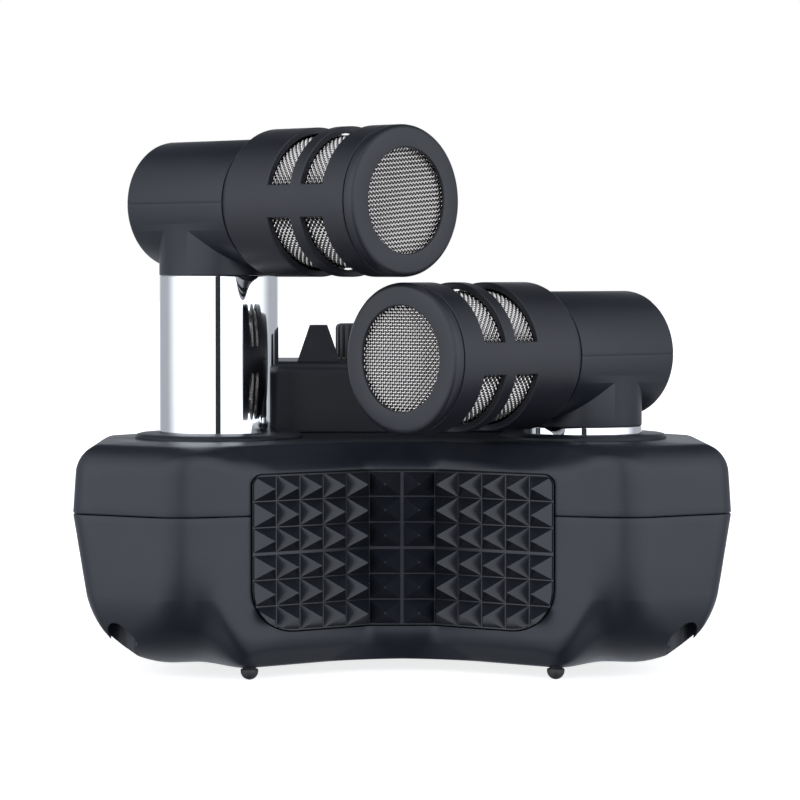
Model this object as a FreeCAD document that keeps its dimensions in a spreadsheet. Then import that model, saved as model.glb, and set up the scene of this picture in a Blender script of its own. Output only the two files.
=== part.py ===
import FreeCAD, Part
import math
import os

import Sketcher

# Handheld stereo recorder: a faceted head with two swivelling microphones on posts, and a main unit.
# Design frame, in mm: X = 0 on the centre line, Y = 0 at the head's two front corners (the unit runs
# towards +Y), Z = 0 on the table. Every node is then moved back by middle_y, so that the origin is
# under the middle of the whole recorder.

SIZES = {
    # head, in plan
    "head_half": 44.4,
    "wing_y": 9.4,
    "corner_x": 30.3,
    "valley_x": 20.1,
    "valley_y": 3.85,
    "notch_half": 4.46,
    "notch_y": 16.1,
    "side_rear": 38.0,
    "waist_half": 34.0,
    "waist_y": 54.0,
    "head_rear": 72.0,
    # heights shared by the head and the main unit
    "floor_z": 1.5,
    "seam_z": 22.3,
    "head_top": 31.8,
    "upper_draft": 4.0,
    "lower_draft": 9.6,
    "brow": 4.0,
    "keel": 10.5,
    "chin": 3.0,
    "inner_keel": 7.0,
    "wall": 4.2,
    "skin": 2.2,
    # diffuser pad on the front notch
    "pad_half": 20.0,
    "pad_low": 6.7,
    "pad_high": 27.75,
    "pad_depth": 1.3,
    "pad_low_round": 5.6,
    "pad_high_round": 1.3,
    "cell_height": 2.2,
    "pad_gap": 0.2,
    # microphone posts and arms
    "post_x": 25.35,
    "toe_in": 44.0,
    "post_y": 29.0,
    "post_radius": 8.3,
    "post_bore": 6.0,
    "post_foot": 14.0,
    "collar_radius": 11.7,
    "collar_height": 0.6,
    "left_axis": 64.2,
    "right_axis": 43.3,
    "stub": 9.9,
    "arm_radius": 8.8,
    "arm_rear": 9.7,
    "arm_front": 10.3,
    "arm_bore": 6.4,
    "spindle": 4.0,
    "spindle_play": 0.05,
    "spindle_foot": 9.8,
    "bracket": 2.0,
    "clip_low": 10.3,
    "clip_high": 11.7,
    "parting": 0.08,
    # microphone barrels, measured along the barrel from the post's axis
    "barrel_radius": 10.1,
    "barrel_bore": 9.15,
    "barrel_start": 12.3,
    "barrel_end": 35.3,
    "slot_one": 20.6,
    "slot_two": 27.0,
    "slot_one_end": 25.0,
    "slot_two_end": 31.3,
    "bridge_half": 2.2,
    "ring_start": 35.45,
    "ring_end": 37.2,
    "ring_round": 0.8,
    "face_radius": 7.0,
    "grille_radius": 8.3,
    "grille_face": 36.5,
    "mesh": 0.3,
    "screen_radius": 8.9,
    "capsule_radius": 7.0,
    # knob and its housing on the head's back
    "housing_half": 22.0,
    "housing_front": 44.4,
    "housing_rear": 70.5,
    "housing_top": 41.9,
    "knob_y": 58.0,
    "knob_radius": 9.3,
    "knob_top": 47.2,
    "shaft_radius": 3.0,
    "fin_x": 11.7,
    "fin_top": 47.1,
    "fin_low_half": 3.2,
    "fin_high_half": 1.25,
    "head_board_low": 15.2,
    # main unit
    "unit_half": 33.0,
    "unit_rear": 150.0,
    "unit_top": 31.0,
    "unit_floor": 5.0,
    "unit_round": 8.0,
    "unit_keel": 4.5,
    "board_low": 20.5,
    "board": 1.6,
    "battery_radius": 7.2,
    "battery_x": 7.6,
    "battery_z": 12.6,
    "battery_start": 90.0,
    "battery_length": 50.5,
    "door_half": 19.0,
    "door_start": 84.0,
    "door_depth": 2.0,
    "play": 0.15,
    "window_half": 20.0,
    "window_start": 79.5,
    "window_end": 105.5,
    "jack_bore": 1.8,
    "insert_radius": 3.2,
    "insert_y": 78.9,
    "foot_x": 20.6,
    "foot_y": 9.0,
    "rear_foot_x": 22.5,
    "rear_foot_y": 144.0,
    "foot_radius": 1.2,
    "screw_shank": 1.25,
    "screw_head": 2.0,
    "boss": 3.6,
}

doc = FreeCAD.newDocument("voice_recorder")
sheet = doc.addObject("Spreadsheet::Sheet", "dim")
for row, (alias, value) in enumerate(SIZES.items(), start=1):
    sheet.set(f"A{row}", alias)
    sheet.set(f"B{row}", str(value))
    sheet.setAlias(f"B{row}", alias)
doc.recompute()

# Half of the whole recorder's length, from the front rim of the lower microphone to the rear wall.
REACH = "(dim.ring_end * cos(dim.toe_in) + (dim.barrel_radius - 0.477) * sin(dim.toe_in))"
MIDDLE_Y = f"(dim.unit_rear + dim.post_y - {REACH}) / 2"

nodes = []


def bind(item, settings):
    """Bind properties of a document object to formulas over the sheet."""
    for name, formula in settings.items():
        item.setExpression(name, formula)


def keep(item, label):
    """Name a finished sub-part and move it from the design frame to the row's frame."""
    item.Label = label
    item.setExpression("Placement.Base.y", f"-({MIDDLE_Y})")
    nodes.append(item)
    return item


def block(name, x, y, z):
    """A box between (low, high) pairs of formulas."""
    item = doc.addObject("Part::Box", name)
    bind(item, {
        "Length": f"({x[1]}) - ({x[0]})",
        "Width": f"({y[1]}) - ({y[0]})",
        "Height": f"({z[1]}) - ({z[0]})",
        "Placement.Base.x": x[0],
        "Placement.Base.y": y[0],
        "Placement.Base.z": z[0],
    })
    return item


def rod(name, radius, x, y, z):
    """An upright cylinder; z is a (low, high) pair of formulas."""
    item = doc.addObject("Part::Cylinder", name)
    bind(item, {
        "Radius": radius,
        "Height": f"({z[1]}) - ({z[0]})",
        "Placement.Base.x": x,
        "Placement.Base.y": y,
        "Placement.Base.z": z[0],
    })
    return item


def bar(name, radius, x, y, z):
    """A cylinder along X; x is a (low, high) pair of formulas."""
    item = doc.addObject("Part::Cylinder", name)
    item.Placement.Rotation = FreeCAD.Rotation(FreeCAD.Vector(0, 1, 0), 90)
    bind(item, {
        "Radius": radius,
        "Height": f"({x[1]}) - ({x[0]})",
        "Placement.Base.x": x[0],
        "Placement.Base.y": y,
        "Placement.Base.z": z,
    })
    return item


def log(name, radius, x, y, z):
    """A cylinder along Y; y is a (low, high) pair of formulas."""
    item = doc.addObject("Part::Cylinder", name)
    item.Placement.Rotation = FreeCAD.Rotation(FreeCAD.Vector(1, 0, 0), -90)
    bind(item, {
        "Radius": radius,
        "Height": f"({y[1]}) - ({y[0]})",
        "Placement.Base.x": x,
        "Placement.Base.y": y[0],
        "Placement.Base.z": z,
    })
    return item


def cone(name, low_radius, high_radius, x, y, z):
    """An upright cone frustum."""
    item = doc.addObject("Part::Cone", name)
    bind(item, {
        "Radius1": low_radius,
        "Radius2": high_radius,
        "Height": f"({z[1]}) - ({z[0]})",
        "Placement.Base.x": x,
        "Placement.Base.y": y,
        "Placement.Base.z": z[0],
    })
    return item


def fuse(name, items):
    """One object of several: joined where they meet, a group where they don't."""
    item = doc.addObject("Part::MultiFuse", name)
    item.Shapes = items
    return item


def common(name, items):
    """The space that all of the items share."""
    item = doc.addObject("Part::MultiCommon", name)
    item.Shapes = items
    return item


def cut(name, base, tools):
    """The base with the tools taken away."""
    item = doc.addObject("Part::Cut", name)
    item.Base = base
    item.Tool = tools[0] if len(tools) == 1 else fuse(f"{name}_tools", tools)
    return item


def body_plane(body, role):
    """One of a body's own origin planes."""
    return next(feature for feature in body.Origin.OriginFeatures if feature.Role == role)


def outline(body, name, role, points, offset="0"):
    """A closed sketch of straight lines whose corners are bound to formulas."""
    sketch = body.newObject("Sketcher::SketchObject", name)
    sketch.AttachmentSupport = [(body_plane(body, role), "")]
    sketch.MapMode = "FlatFace"
    sketch.setExpression("AttachmentOffset.Base.z", offset)
    count = len(points)
    step = 2 * math.pi / count
    rough = [FreeCAD.Vector(10 * math.cos(step * n), 10 * math.sin(step * n), 0) for n in range(count)]
    for index in range(count):
        sketch.addGeometry(Part.LineSegment(rough[index], rough[(index + 1) % count]))
    for index in range(count):
        sketch.addConstraint(Sketcher.Constraint("Coincident", index, 2, (index + 1) % count, 1))
    for index, point in enumerate(points):
        for kind, axis, formula in (("DistanceX", -2, point[0]), ("DistanceY", -1, point[1])):
            if formula == "0":
                sketch.addConstraint(Sketcher.Constraint("PointOnObject", index, 1, axis))
                continue
            place = sketch.addConstraint(Sketcher.Constraint(kind, -1, 1, index, 1, 10.0))
            label = f"{kind}_{index}"
            sketch.renameConstraint(place, label)
            sketch.setExpression(f"Constraints.{label}", formula)
    return sketch


def padded(name, points, low, high):
    """A body whose outline, drawn in plan, is padded from one height to another."""
    body = doc.addObject("PartDesign::Body", name)
    sketch = outline(body, f"{name}_plan", "XY_Plane", points, low)
    pad = body.newObject("PartDesign::Pad", f"{name}_pad")
    pad.Profile = sketch
    pad.setExpression("Length", f"({high}) - ({low})")
    doc.recompute()
    return body


def slab(name, x, y, z):
    """A rectangular body between (low, high) pairs of formulas."""
    return padded(name, [(x[0], y[0]), (x[1], y[0]), (x[1], y[1]), (x[0], y[1])], z[0], z[1])


def turned(name, points):
    """A body of revolution about its own Z axis, from an outline of (radius, height) corners."""
    body = doc.addObject("PartDesign::Body", name)
    sketch = outline(body, f"{name}_profile", "XZ_Plane", points)
    turn = body.newObject("PartDesign::Revolution", f"{name}_turn")
    turn.Profile = sketch
    turn.ReferenceAxis = (sketch, ["V_Axis"])
    turn.Angle = 360
    doc.recompute()
    return body


def soften_rim(body, radius, rim_radius, rim_height):
    """Round one circular edge of a turned body."""
    base = body.Tip
    names = []
    for index, edge in enumerate(base.Shape.Edges, start=1):
        if not hasattr(edge.Curve, "Radius"):
            continue
        same_radius = abs(edge.Curve.Radius - rim_radius) < 0.01
        same_height = abs(edge.CenterOfMass.z - rim_height) < 0.01
        if same_radius and same_height:
            names.append(f"Edge{index}")
    feature = body.newObject("PartDesign::Fillet", f"{body.Name}_rim")
    feature.Base = (base, names)
    feature.setExpression("Radius", radius)
    doc.recompute()


def faces_of(shape, wanted):
    """Names of the faces whose normal and centre pass a test."""
    return [
        f"Face{index}" for index, face in enumerate(shape.Faces, start=1)
        if wanted(face.normalAt(0, 0), face.CenterOfMass)
    ]


def taper(body, angle, neutral, wanted):
    """Lean the wanted faces inwards, away from the neutral face."""
    base = body.Tip
    feature = body.newObject("PartDesign::Draft", f"{body.Name}_taper")
    feature.Base = (base, faces_of(base.Shape, wanted))
    feature.NeutralPlane = (base, faces_of(base.Shape, neutral))
    feature.setExpression("Angle", angle)
    doc.recompute()
    if feature.Shape.Volume > base.Shape.Volume:
        feature.Reversed = True
        doc.recompute()


def soften(body, radius, wanted):
    """Round the edges whose centre and direction pass a test."""
    base = body.Tip
    names = []
    for index, edge in enumerate(base.Shape.Edges, start=1):
        run = edge.Vertexes[-1].Point - edge.Vertexes[0].Point
        if wanted(edge.CenterOfMass, run):
            names.append(f"Edge{index}")
    feature = body.newObject("PartDesign::Fillet", f"{body.Name}_round")
    feature.Base = (base, names)
    feature.setExpression("Radius", radius)
    doc.recompute()


def mirrored_outline(half):
    """A closed outline from its right-hand half, given from front to back."""
    other = [(f"-({across})", along) if across != "0" else None for across, along in reversed(half)]
    return half + [point for point in other if point]


def level(height):
    """A test for edges that lie level at a height."""
    return lambda middle, run: abs(run.z) < 0.01 and abs(middle.z - height) < 0.01


FLOOR = SIZES["floor_z"]
SEAM = SIZES["seam_z"]

# ---------------------------------------------------------------------------------------------
# Head shells. Three outlines are shared by the upper and the lower shell: the outer one gives the
# wings, sides and waist, the notch gives the V-shaped front, and the lobe planes cut its corners.

WING_SLOPE = "dim.wing_y / (dim.head_half - dim.corner_x)"
NOTCH_SLOPE = "(dim.notch_y - dim.valley_y) / (dim.valley_x - dim.notch_half)"
LOBE_SLOPE = "dim.valley_y / (dim.corner_x - dim.valley_x)"

outer_half = [
    ("0", f"-dim.corner_x * {WING_SLOPE}"),
    ("dim.head_half", "dim.wing_y"),
    ("dim.head_half", "dim.side_rear"),
    ("dim.waist_half", "dim.waist_y"),
    ("dim.waist_half", "dim.head_rear"),
]
notch_half = [
    ("dim.notch_half", "dim.notch_y"),
    ("60", f"dim.notch_y - (60 - dim.notch_half) * {NOTCH_SLOPE}"),
    ("60", "dim.head_rear + 5"),
]
lobe_half = [
    ("0", f"dim.corner_x * {LOBE_SLOPE}"),
    ("60", f"(dim.corner_x - 60) * {LOBE_SLOPE}"),
    ("60", "dim.head_rear + 5"),
]
inner_half = [
    ("dim.notch_half + 0.37 * dim.wall", "dim.notch_y + dim.wall"),
    ("dim.valley_x + 1.2 * dim.wall", "dim.valley_y + 0.3 * dim.wall"),
    ("dim.corner_x - 0.1 * dim.wall", "0.8 * dim.wall"),
    ("dim.head_half - 0.85 * dim.wall", "dim.wing_y + 0.3 * dim.wall"),
    ("dim.head_half - 0.85 * dim.wall", "dim.side_rear - 0.25 * dim.wall"),
    ("dim.waist_half - 0.7 * dim.wall", "dim.waist_y - 0.35 * dim.wall"),
    ("dim.waist_half - 0.7 * dim.wall", "dim.head_rear - 0.7 * dim.wall"),
]


def is_side(normal, middle):
    """The head's two straight side walls."""
    return abs(normal.x) > 0.99 and abs(middle.x) > 38


def head_solid(name, low, high, edge, outer_round, notch_round, draft):
    """The head's outer form between two heights, rounded at the edge height."""
    outer = padded(f"{name}_outer", mirrored_outline(outer_half), low, high)
    at_edge = level(edge)
    up = edge > SEAM
    taper(outer, draft, lambda normal, middle: normal.z < -0.9 if up else normal.z > 0.9, is_side)
    rear = SIZES["head_rear"] - 1
    soften(outer, outer_round, lambda middle, run: at_edge(middle, run) and middle.y < rear)
    notch = padded(f"{name}_notch", mirrored_outline(notch_half), low, high)
    soften(
        notch, notch_round, lambda middle,
        run: at_edge(middle, run) and middle.y < 20 and abs(middle.x) < 59,
    )
    lobes = padded(f"{name}_lobes", mirrored_outline(lobe_half), low, high)
    return common(f"{name}_solid", [outer, notch, lobes])


def pad_prism(name, gap):
    """The diffuser pad's rounded outline, as a prism along Y with a gap around it."""
    body = doc.addObject("PartDesign::Body", name)
    corners = [
        (f"dim.pad_half + {gap}", f"dim.pad_low - {gap}"),
        (f"dim.pad_half + {gap}", f"dim.pad_high + {gap}"),
        (f"-dim.pad_half - {gap}", f"dim.pad_high + {gap}"),
        (f"-dim.pad_half - {gap}", f"dim.pad_low - {gap}"),
    ]
    sketch = outline(body, f"{name}_front", "XZ_Plane", corners, "-dim.head_rear")
    pad = body.newObject("PartDesign::Pad", f"{name}_pad")
    pad.Profile = sketch
    pad.setExpression("Length", "dim.head_rear + 10")
    doc.recompute()
    middle_z = (SIZES["pad_low"] + SIZES["pad_high"]) / 2
    soften(body, "dim.pad_low_round", lambda middle, run: abs(run.y) > 9 and middle.z < middle_z)
    soften(body, "dim.pad_high_round", lambda middle, run: abs(run.y) > 9 and middle.z > middle_z)
    return body


def pad_slab(name, sunk):
    """The V-shaped slab that the pad fills, from the notch's face to a depth behind it."""
    half = [
        ("dim.notch_half", "dim.notch_y"),
        ("dim.valley_x + 0.5", f"dim.valley_y - 0.5 * {NOTCH_SLOPE}"),
        (f"dim.valley_x + 0.5 + 0.63 * {sunk}", f"dim.valley_y - 0.5 * {NOTCH_SLOPE} + 0.78 * {sunk}"),
        (f"dim.notch_half + 0.37 * {sunk}", f"dim.notch_y + {sunk}"),
    ]
    return padded(name, mirrored_outline(half), "dim.pad_low - 2", "dim.pad_high + 2")


def front_cutter(name):
    """Everything from well in front of the notch back to the pad's bed."""
    half = [
        ("dim.notch_half + 0.37 * dim.pad_depth", "dim.notch_y + dim.pad_depth"),
        (
            "dim.valley_x + 0.5 + 0.63 * dim.pad_depth",
            f"dim.valley_y - 0.5 * {NOTCH_SLOPE} + 0.78 * dim.pad_depth",
        ),
        ("dim.valley_x + 0.5 + 0.63 * dim.pad_depth", "-20"),
    ]
    return padded(name, mirrored_outline(half), "dim.pad_low - 2", "dim.pad_high + 2")


pad_bed = common("pad_bed", [front_cutter("bed_cutter"), pad_prism("bed_prism", "dim.pad_gap")])

BOSSES = [("37.6", "11"), ("27.2", "64")]
BRACKET_SCREWS = [("13.5", "24"), ("13.5", "36")]
BOARD_PILLARS = [("22", "45"), ("20", "62.5")]
SIDES = [("left", "-"), ("right", "")]


def both_sides(spots):
    """Names and places of features that repeat on the left and the right."""
    for number, (across, along) in enumerate(spots):
        for side, sign in SIDES:
            yield f"{side}_{number}", f"{sign}{across}", along


def head_upper():
    """Upper head shell with its post holes, collars, screw bosses and connector opening."""
    solid = head_solid(
        "upper", "dim.seam_z", "dim.head_top", SIZES["head_top"], "dim.brow", "dim.brow", "dim.upper_draft",
    )
    hollow = padded(
        "upper_hollow", mirrored_outline(inner_half), "dim.seam_z - 1", "dim.head_top - dim.skin",
    )
    shell = cut("upper_skin", solid, [hollow])
    extras = [shell]
    tools = [pad_bed]
    for side, sign in SIDES:
        extras.append(cone(
            f"{side}_collar", "dim.collar_radius + 0.6", "dim.post_radius + 0.9", f"{sign}dim.post_x",
            "dim.post_y",
            ("dim.head_top - 0.12", "dim.head_top + dim.collar_height"),
        ))
        tools.append(rod(
            f"{side}_post_hole", "dim.post_radius", f"{sign}dim.post_x", "dim.post_y",
            ("dim.seam_z", "dim.head_top + 5"),
        ))
    for name, across, along in both_sides(BOSSES):
        extras.append(rod(
            f"upper_boss_{name}", "dim.boss", across, along, ("dim.seam_z", "dim.head_top - dim.skin"),
        ))
        tools.append(rod(
            f"upper_pilot_{name}", "dim.screw_shank", across, along,
            ("dim.seam_z - 1", "dim.head_top - dim.skin - 1"),
        ))
    tools.append(rod(
        "shaft_hole", "dim.shaft_radius + 0.6", "0", "dim.knob_y", ("dim.seam_z", "dim.head_top + 1"),
    ))
    tools.append(block(
        "upper_connector_hole", ("-12.2", "12.2"), ("dim.head_rear - 6", "dim.head_rear + 2"),
        ("dim.seam_z - 2", "24.2"),
    ))
    return keep(cut("head_upper_cut", fuse("head_upper_blank", extras), tools), "head_upper_shell")


def head_lower():
    """Lower head shell with its screw wells, bracket pillars and foot sockets."""
    solid = head_solid(
        "lower", "dim.floor_z", "dim.seam_z", FLOOR, "dim.keel", "dim.chin", "dim.lower_draft",
    )
    hollow = padded(
        "lower_hollow", mirrored_outline(inner_half), "dim.floor_z + dim.skin", "dim.seam_z + 1",
    )
    taper(hollow, "dim.lower_draft", lambda normal, middle: normal.z > 0.9, is_side)
    at_floor = level(FLOOR + SIZES["skin"])
    soften(
        hollow, "dim.inner_keel", lambda middle,
        run: at_floor(middle, run) and abs(middle.x) > 31 and middle.y < 68,
    )
    shell = cut("lower_skin", solid, [hollow])
    extras = [shell]
    tools = [pad_bed]
    for name, across, along in both_sides(BOSSES):
        tube = rod(f"lower_boss_{name}", "dim.boss", across, along, ("dim.floor_z", "dim.seam_z"))
        extras.append(common(f"lower_boss_fit_{name}", [tube, solid]))
        tools.append(rod(
            f"lower_well_{name}", "dim.screw_head + 0.1", across, along, ("dim.floor_z - 1", "14.5"),
        ))
        tools.append(rod(f"lower_pass_{name}", "dim.screw_shank", across, along, ("14", "dim.seam_z + 1")))
    for name, across, along in both_sides(BRACKET_SCREWS):
        extras.append(rod(
            f"pillar_{name}", "2.6", across, along, ("dim.floor_z + 1", "dim.post_foot - dim.bracket"),
        ))
        tools.append(rod(f"pillar_pilot_{name}", "dim.screw_shank", across, along, ("8", "dim.post_foot")))
    for name, across, along in both_sides(BOARD_PILLARS):
        extras.append(rod(
            f"board_pillar_{name}", "2.2", across, along, ("dim.floor_z + 1", "dim.head_board_low"),
        ))
    for side, sign in SIDES:
        tools.append(rod(
            f"front_foot_socket_{side}", "0.7 * dim.foot_radius", f"{sign}dim.foot_x", "dim.foot_y",
            ("0", "dim.floor_z + 1.2"),
        ))
    tools.append(block(
        "lower_connector_hole", ("-12.2", "12.2"), ("dim.head_rear - 6", "dim.head_rear + 2"),
        ("16.8", "dim.seam_z + 2"),
    ))
    return keep(cut("head_lower_cut", fuse("head_lower_blank", extras), tools), "head_lower_shell")


# ---------------------------------------------------------------------------------------------
# Diffuser pad: a V-shaped plate with rows of pyramids on its two flanks and its centre.

ROWS = 6
FLANK_COLUMNS = 5
PITCH_Z = (SIZES["pad_high"] - SIZES["pad_low"]) / ROWS
CELL_GAP = 0.14


def pyramid(name, origin, along, out, width, height):
    """One pyramid on a face: origin is its base's lower corner, along and out are unit vectors."""
    item = doc.addObject("Part::Wedge", name)
    base_w = width - CELL_GAP
    base_h = height - CELL_GAP
    tip = 0.14
    item.Xmin = 0
    item.Xmax = base_w
    item.Zmin = 0
    item.Zmax = base_h
    item.Ymin = -0.3
    item.X2min = base_w / 2 - tip
    item.X2max = base_w / 2 + tip
    item.Z2min = base_h / 2 - tip
    item.Z2max = base_h / 2 + tip
    item.setExpression("Ymax", "dim.cell_height")
    upright = along.cross(out)
    turn = FreeCAD.Rotation(along, out, upright, "XYZ")
    item.Placement = FreeCAD.Placement(origin + along * (CELL_GAP / 2) + upright * (CELL_GAP / 2), turn)
    return item


def diffuser_pad():
    """The rubber pad that fills the notch between the head's lobes."""
    notch = FreeCAD.Vector(SIZES["notch_half"], SIZES["notch_y"], 0)
    valley = FreeCAD.Vector(SIZES["valley_x"], SIZES["valley_y"], 0)
    run = (valley - notch).normalize()
    reach = (SIZES["pad_half"] - SIZES["notch_half"]) / run.x
    pitch = reach / FLANK_COLUMNS
    cells = []
    for row in range(ROWS):
        low = SIZES["pad_low"] + row * PITCH_Z
        for column in range(FLANK_COLUMNS):
            # right flank: the row of cells runs outwards; its outward normal points forwards and in
            start = notch + run * (pitch * (column + 1))
            start.z = low
            out = FreeCAD.Vector(run.y, -run.x, 0)
            cells.append(pyramid(f"right_cell_{row}_{column}", start, run * -1, out, pitch, PITCH_Z))
            # left flank: the mirror image
            start = FreeCAD.Vector(-notch.x - run.x * pitch * column, notch.y + run.y * pitch * column, low)
            back = FreeCAD.Vector(-run.x, run.y, 0)
            out = FreeCAD.Vector(-run.y, -run.x, 0)
            cells.append(pyramid(f"left_cell_{row}_{column}", start, back, out, pitch, PITCH_Z))
        for side in (0, 1):
            width = SIZES["notch_half"] - 0.22
            start = FreeCAD.Vector(
                side * 0.22 + (side - 1) * SIZES["notch_half"] + width, SIZES["notch_y"], low,
            )
            cells.append(pyramid(
                f"centre_cell_{row}_{side}", start, FreeCAD.Vector(-1, 0, 0), FreeCAD.Vector(0, -1, 0),
                width, PITCH_Z,
            ))
    plate = pad_slab("pad_slab", "dim.pad_depth")
    blank = fuse("pad_blank", [plate] + cells)
    return keep(common("pad_trimmed", [blank, pad_prism("pad_prism", "0")]), "diffuser_pad")


# ---------------------------------------------------------------------------------------------
# Microphone posts: chrome tubes that stand on a bracket inside the head and hold plastic bushings.

def tube(name, outer, inner, x, y, z):
    """An upright tube."""
    return cut(name, rod(f"{name}_out", outer, x, y, z), [rod(f"{name}_in", inner, x, y, z)])


def post_and_bushing(side, sign):
    """A chrome post and the bushing that its microphone's spindle turns in."""
    across = f"{sign}dim.post_x"
    top = f"dim.{side}_axis - dim.stub"
    post = tube(
        f"{side}_post_tube", "dim.post_radius", "dim.post_bore", across, "dim.post_y",
        ("dim.post_foot", top),
    )
    keep(post, f"{side}_post")
    bush = tube(
        f"{side}_bush_tube", "dim.post_bore", "dim.spindle + dim.spindle_play", across, "dim.post_y",
        ("dim.post_foot", f"{top} - 0.3"),
    )
    keep(bush, f"{side}_bushing")


def mic_bracket():
    """Steel plate that ties the two posts together inside the head."""
    plate = block(
        "bracket_plate", ("-35", "35"), ("21", "40"), ("dim.post_foot - dim.bracket", "dim.post_foot"),
    )
    tools = []
    for side, sign in SIDES:
        tools.append(rod(
            f"bracket_hole_{side}", "dim.spindle + 0.5", f"{sign}dim.post_x", "dim.post_y",
            ("dim.post_foot - 3", "dim.post_foot + 1"),
        ))
    for name, across, along in both_sides(BRACKET_SCREWS):
        tools.append(rod(
            f"bracket_pass_{name}", "dim.screw_shank", across, along,
            ("dim.post_foot - 3", "dim.post_foot + 1"),
        ))
    keep(cut("bracket_cut", plate, tools), "mic_bracket")


def screw(name, across, along, head_low, tip):
    """A pan-head screw: the head lies at head_low and the shank runs to tip."""
    upward = f"({tip}) > ({head_low})"
    head = rod(f"{name}_head", "dim.screw_head", across, along, (
        f"{upward} ? ({head_low}) - 1.4 : ({head_low})", f"{upward} ? ({head_low}) : ({head_low}) + 1.4",
    ))
    shank = rod(f"{name}_shank", "dim.screw_shank", across, along, (
        f"{upward} ? ({head_low}) : ({tip})", f"{upward} ? ({tip}) : ({head_low})",
    ))
    return fuse(name, [head, shank])


def head_fasteners():
    """The screws that close the head, and those that hold the bracket."""
    closing = [
        screw(f"head_screw_{name}", across, along, "14.5", "27")
        for name, across, along in both_sides(BOSSES)
    ]
    keep(fuse("head_screw_set", closing), "head_screws")
    holding = [
        screw(f"bracket_screw_{name}", across, along, "dim.post_foot", "8")
        for name, across, along in both_sides(BRACKET_SCREWS)
    ]
    keep(fuse("bracket_screw_set", holding), "bracket_screws")


# ---------------------------------------------------------------------------------------------
# Swivelling microphones. Each piece is made in the barrel's own frame, with its Z axis along the
# barrel from the post's axis to the grille and its X axis up, and is then turned into place.

SLANT = {"left": 1, "right": -1}


def keep_on_mic(item, side, label):
    """Turn a piece from the barrel's frame into place over its post."""
    item.Label = f"{side}_{label}"
    toe_in = math.radians(SIZES["toe_in"])
    forward = FreeCAD.Vector(SLANT[side] * math.sin(toe_in), -math.cos(toe_in), 0)
    up = FreeCAD.Vector(0, 0, 1)
    item.Placement.Rotation = FreeCAD.Rotation(up, forward.cross(up), forward, "ZXY")
    bind(item, {
        "Placement.Base.x": "-dim.post_x" if side == "left" else "dim.post_x",
        "Placement.Base.y": f"dim.post_y - ({MIDDLE_Y})",
        "Placement.Base.z": f"dim.{side}_axis",
    })
    nodes.append(item)


def arm(side):
    """The elbow: the lower half of the rear barrel with its stub, and the upper half as a cover."""
    barrel = turned(f"{side}_arm_barrel", [
        ("0", "-dim.arm_rear"),
        ("dim.arm_radius", "-dim.arm_rear"),
        ("dim.arm_radius", "dim.arm_front"),
        ("0", "dim.arm_front"),
    ])
    soften_rim(barrel, "0.7", SIZES["arm_radius"], -SIZES["arm_rear"])
    stub = bar(f"{side}_stub", "dim.post_radius", ("-dim.stub", "0"), "0", "0")
    below = block(f"{side}_below", ("-20", "0"), ("-20", "20"), ("-20", "20"))
    above = block(f"{side}_above", ("dim.parting", "20"), ("-20", "20"), ("-20", "20"))
    wire_way = rod(f"{side}_wire_way", "dim.arm_bore", "0", "0", ("2 - dim.arm_rear", "dim.arm_front + 1"))
    socket = bar(f"{side}_socket", "dim.spindle", ("-dim.stub - 1", "-dim.arm_bore - 1"), "0", "0")
    lower = common(f"{side}_arm_lower", [fuse(f"{side}_elbow", [barrel, stub]), below])
    keep_on_mic(cut(f"{side}_arm_cut", lower, [wire_way, socket]), side, "arm")
    upper = common(f"{side}_arm_upper", [barrel, above])
    keep_on_mic(cut(f"{side}_cover_cut", upper, [wire_way]), side, "arm_cover")
    shaft = bar(
        f"{side}_shaft", "dim.spindle", (f"dim.spindle_foot - dim.{side}_axis", "-dim.arm_bore - 1"), "0",
        "0",
    )
    clip = bar(
        f"{side}_clip", "1.5 * dim.spindle",
        (f"dim.clip_low - dim.{side}_axis", f"dim.clip_high - dim.{side}_axis"),
        "0", "0",
    )
    keep_on_mic(fuse(f"{side}_shaft_and_clip", [shaft, clip]), side, "spindle")


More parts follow.
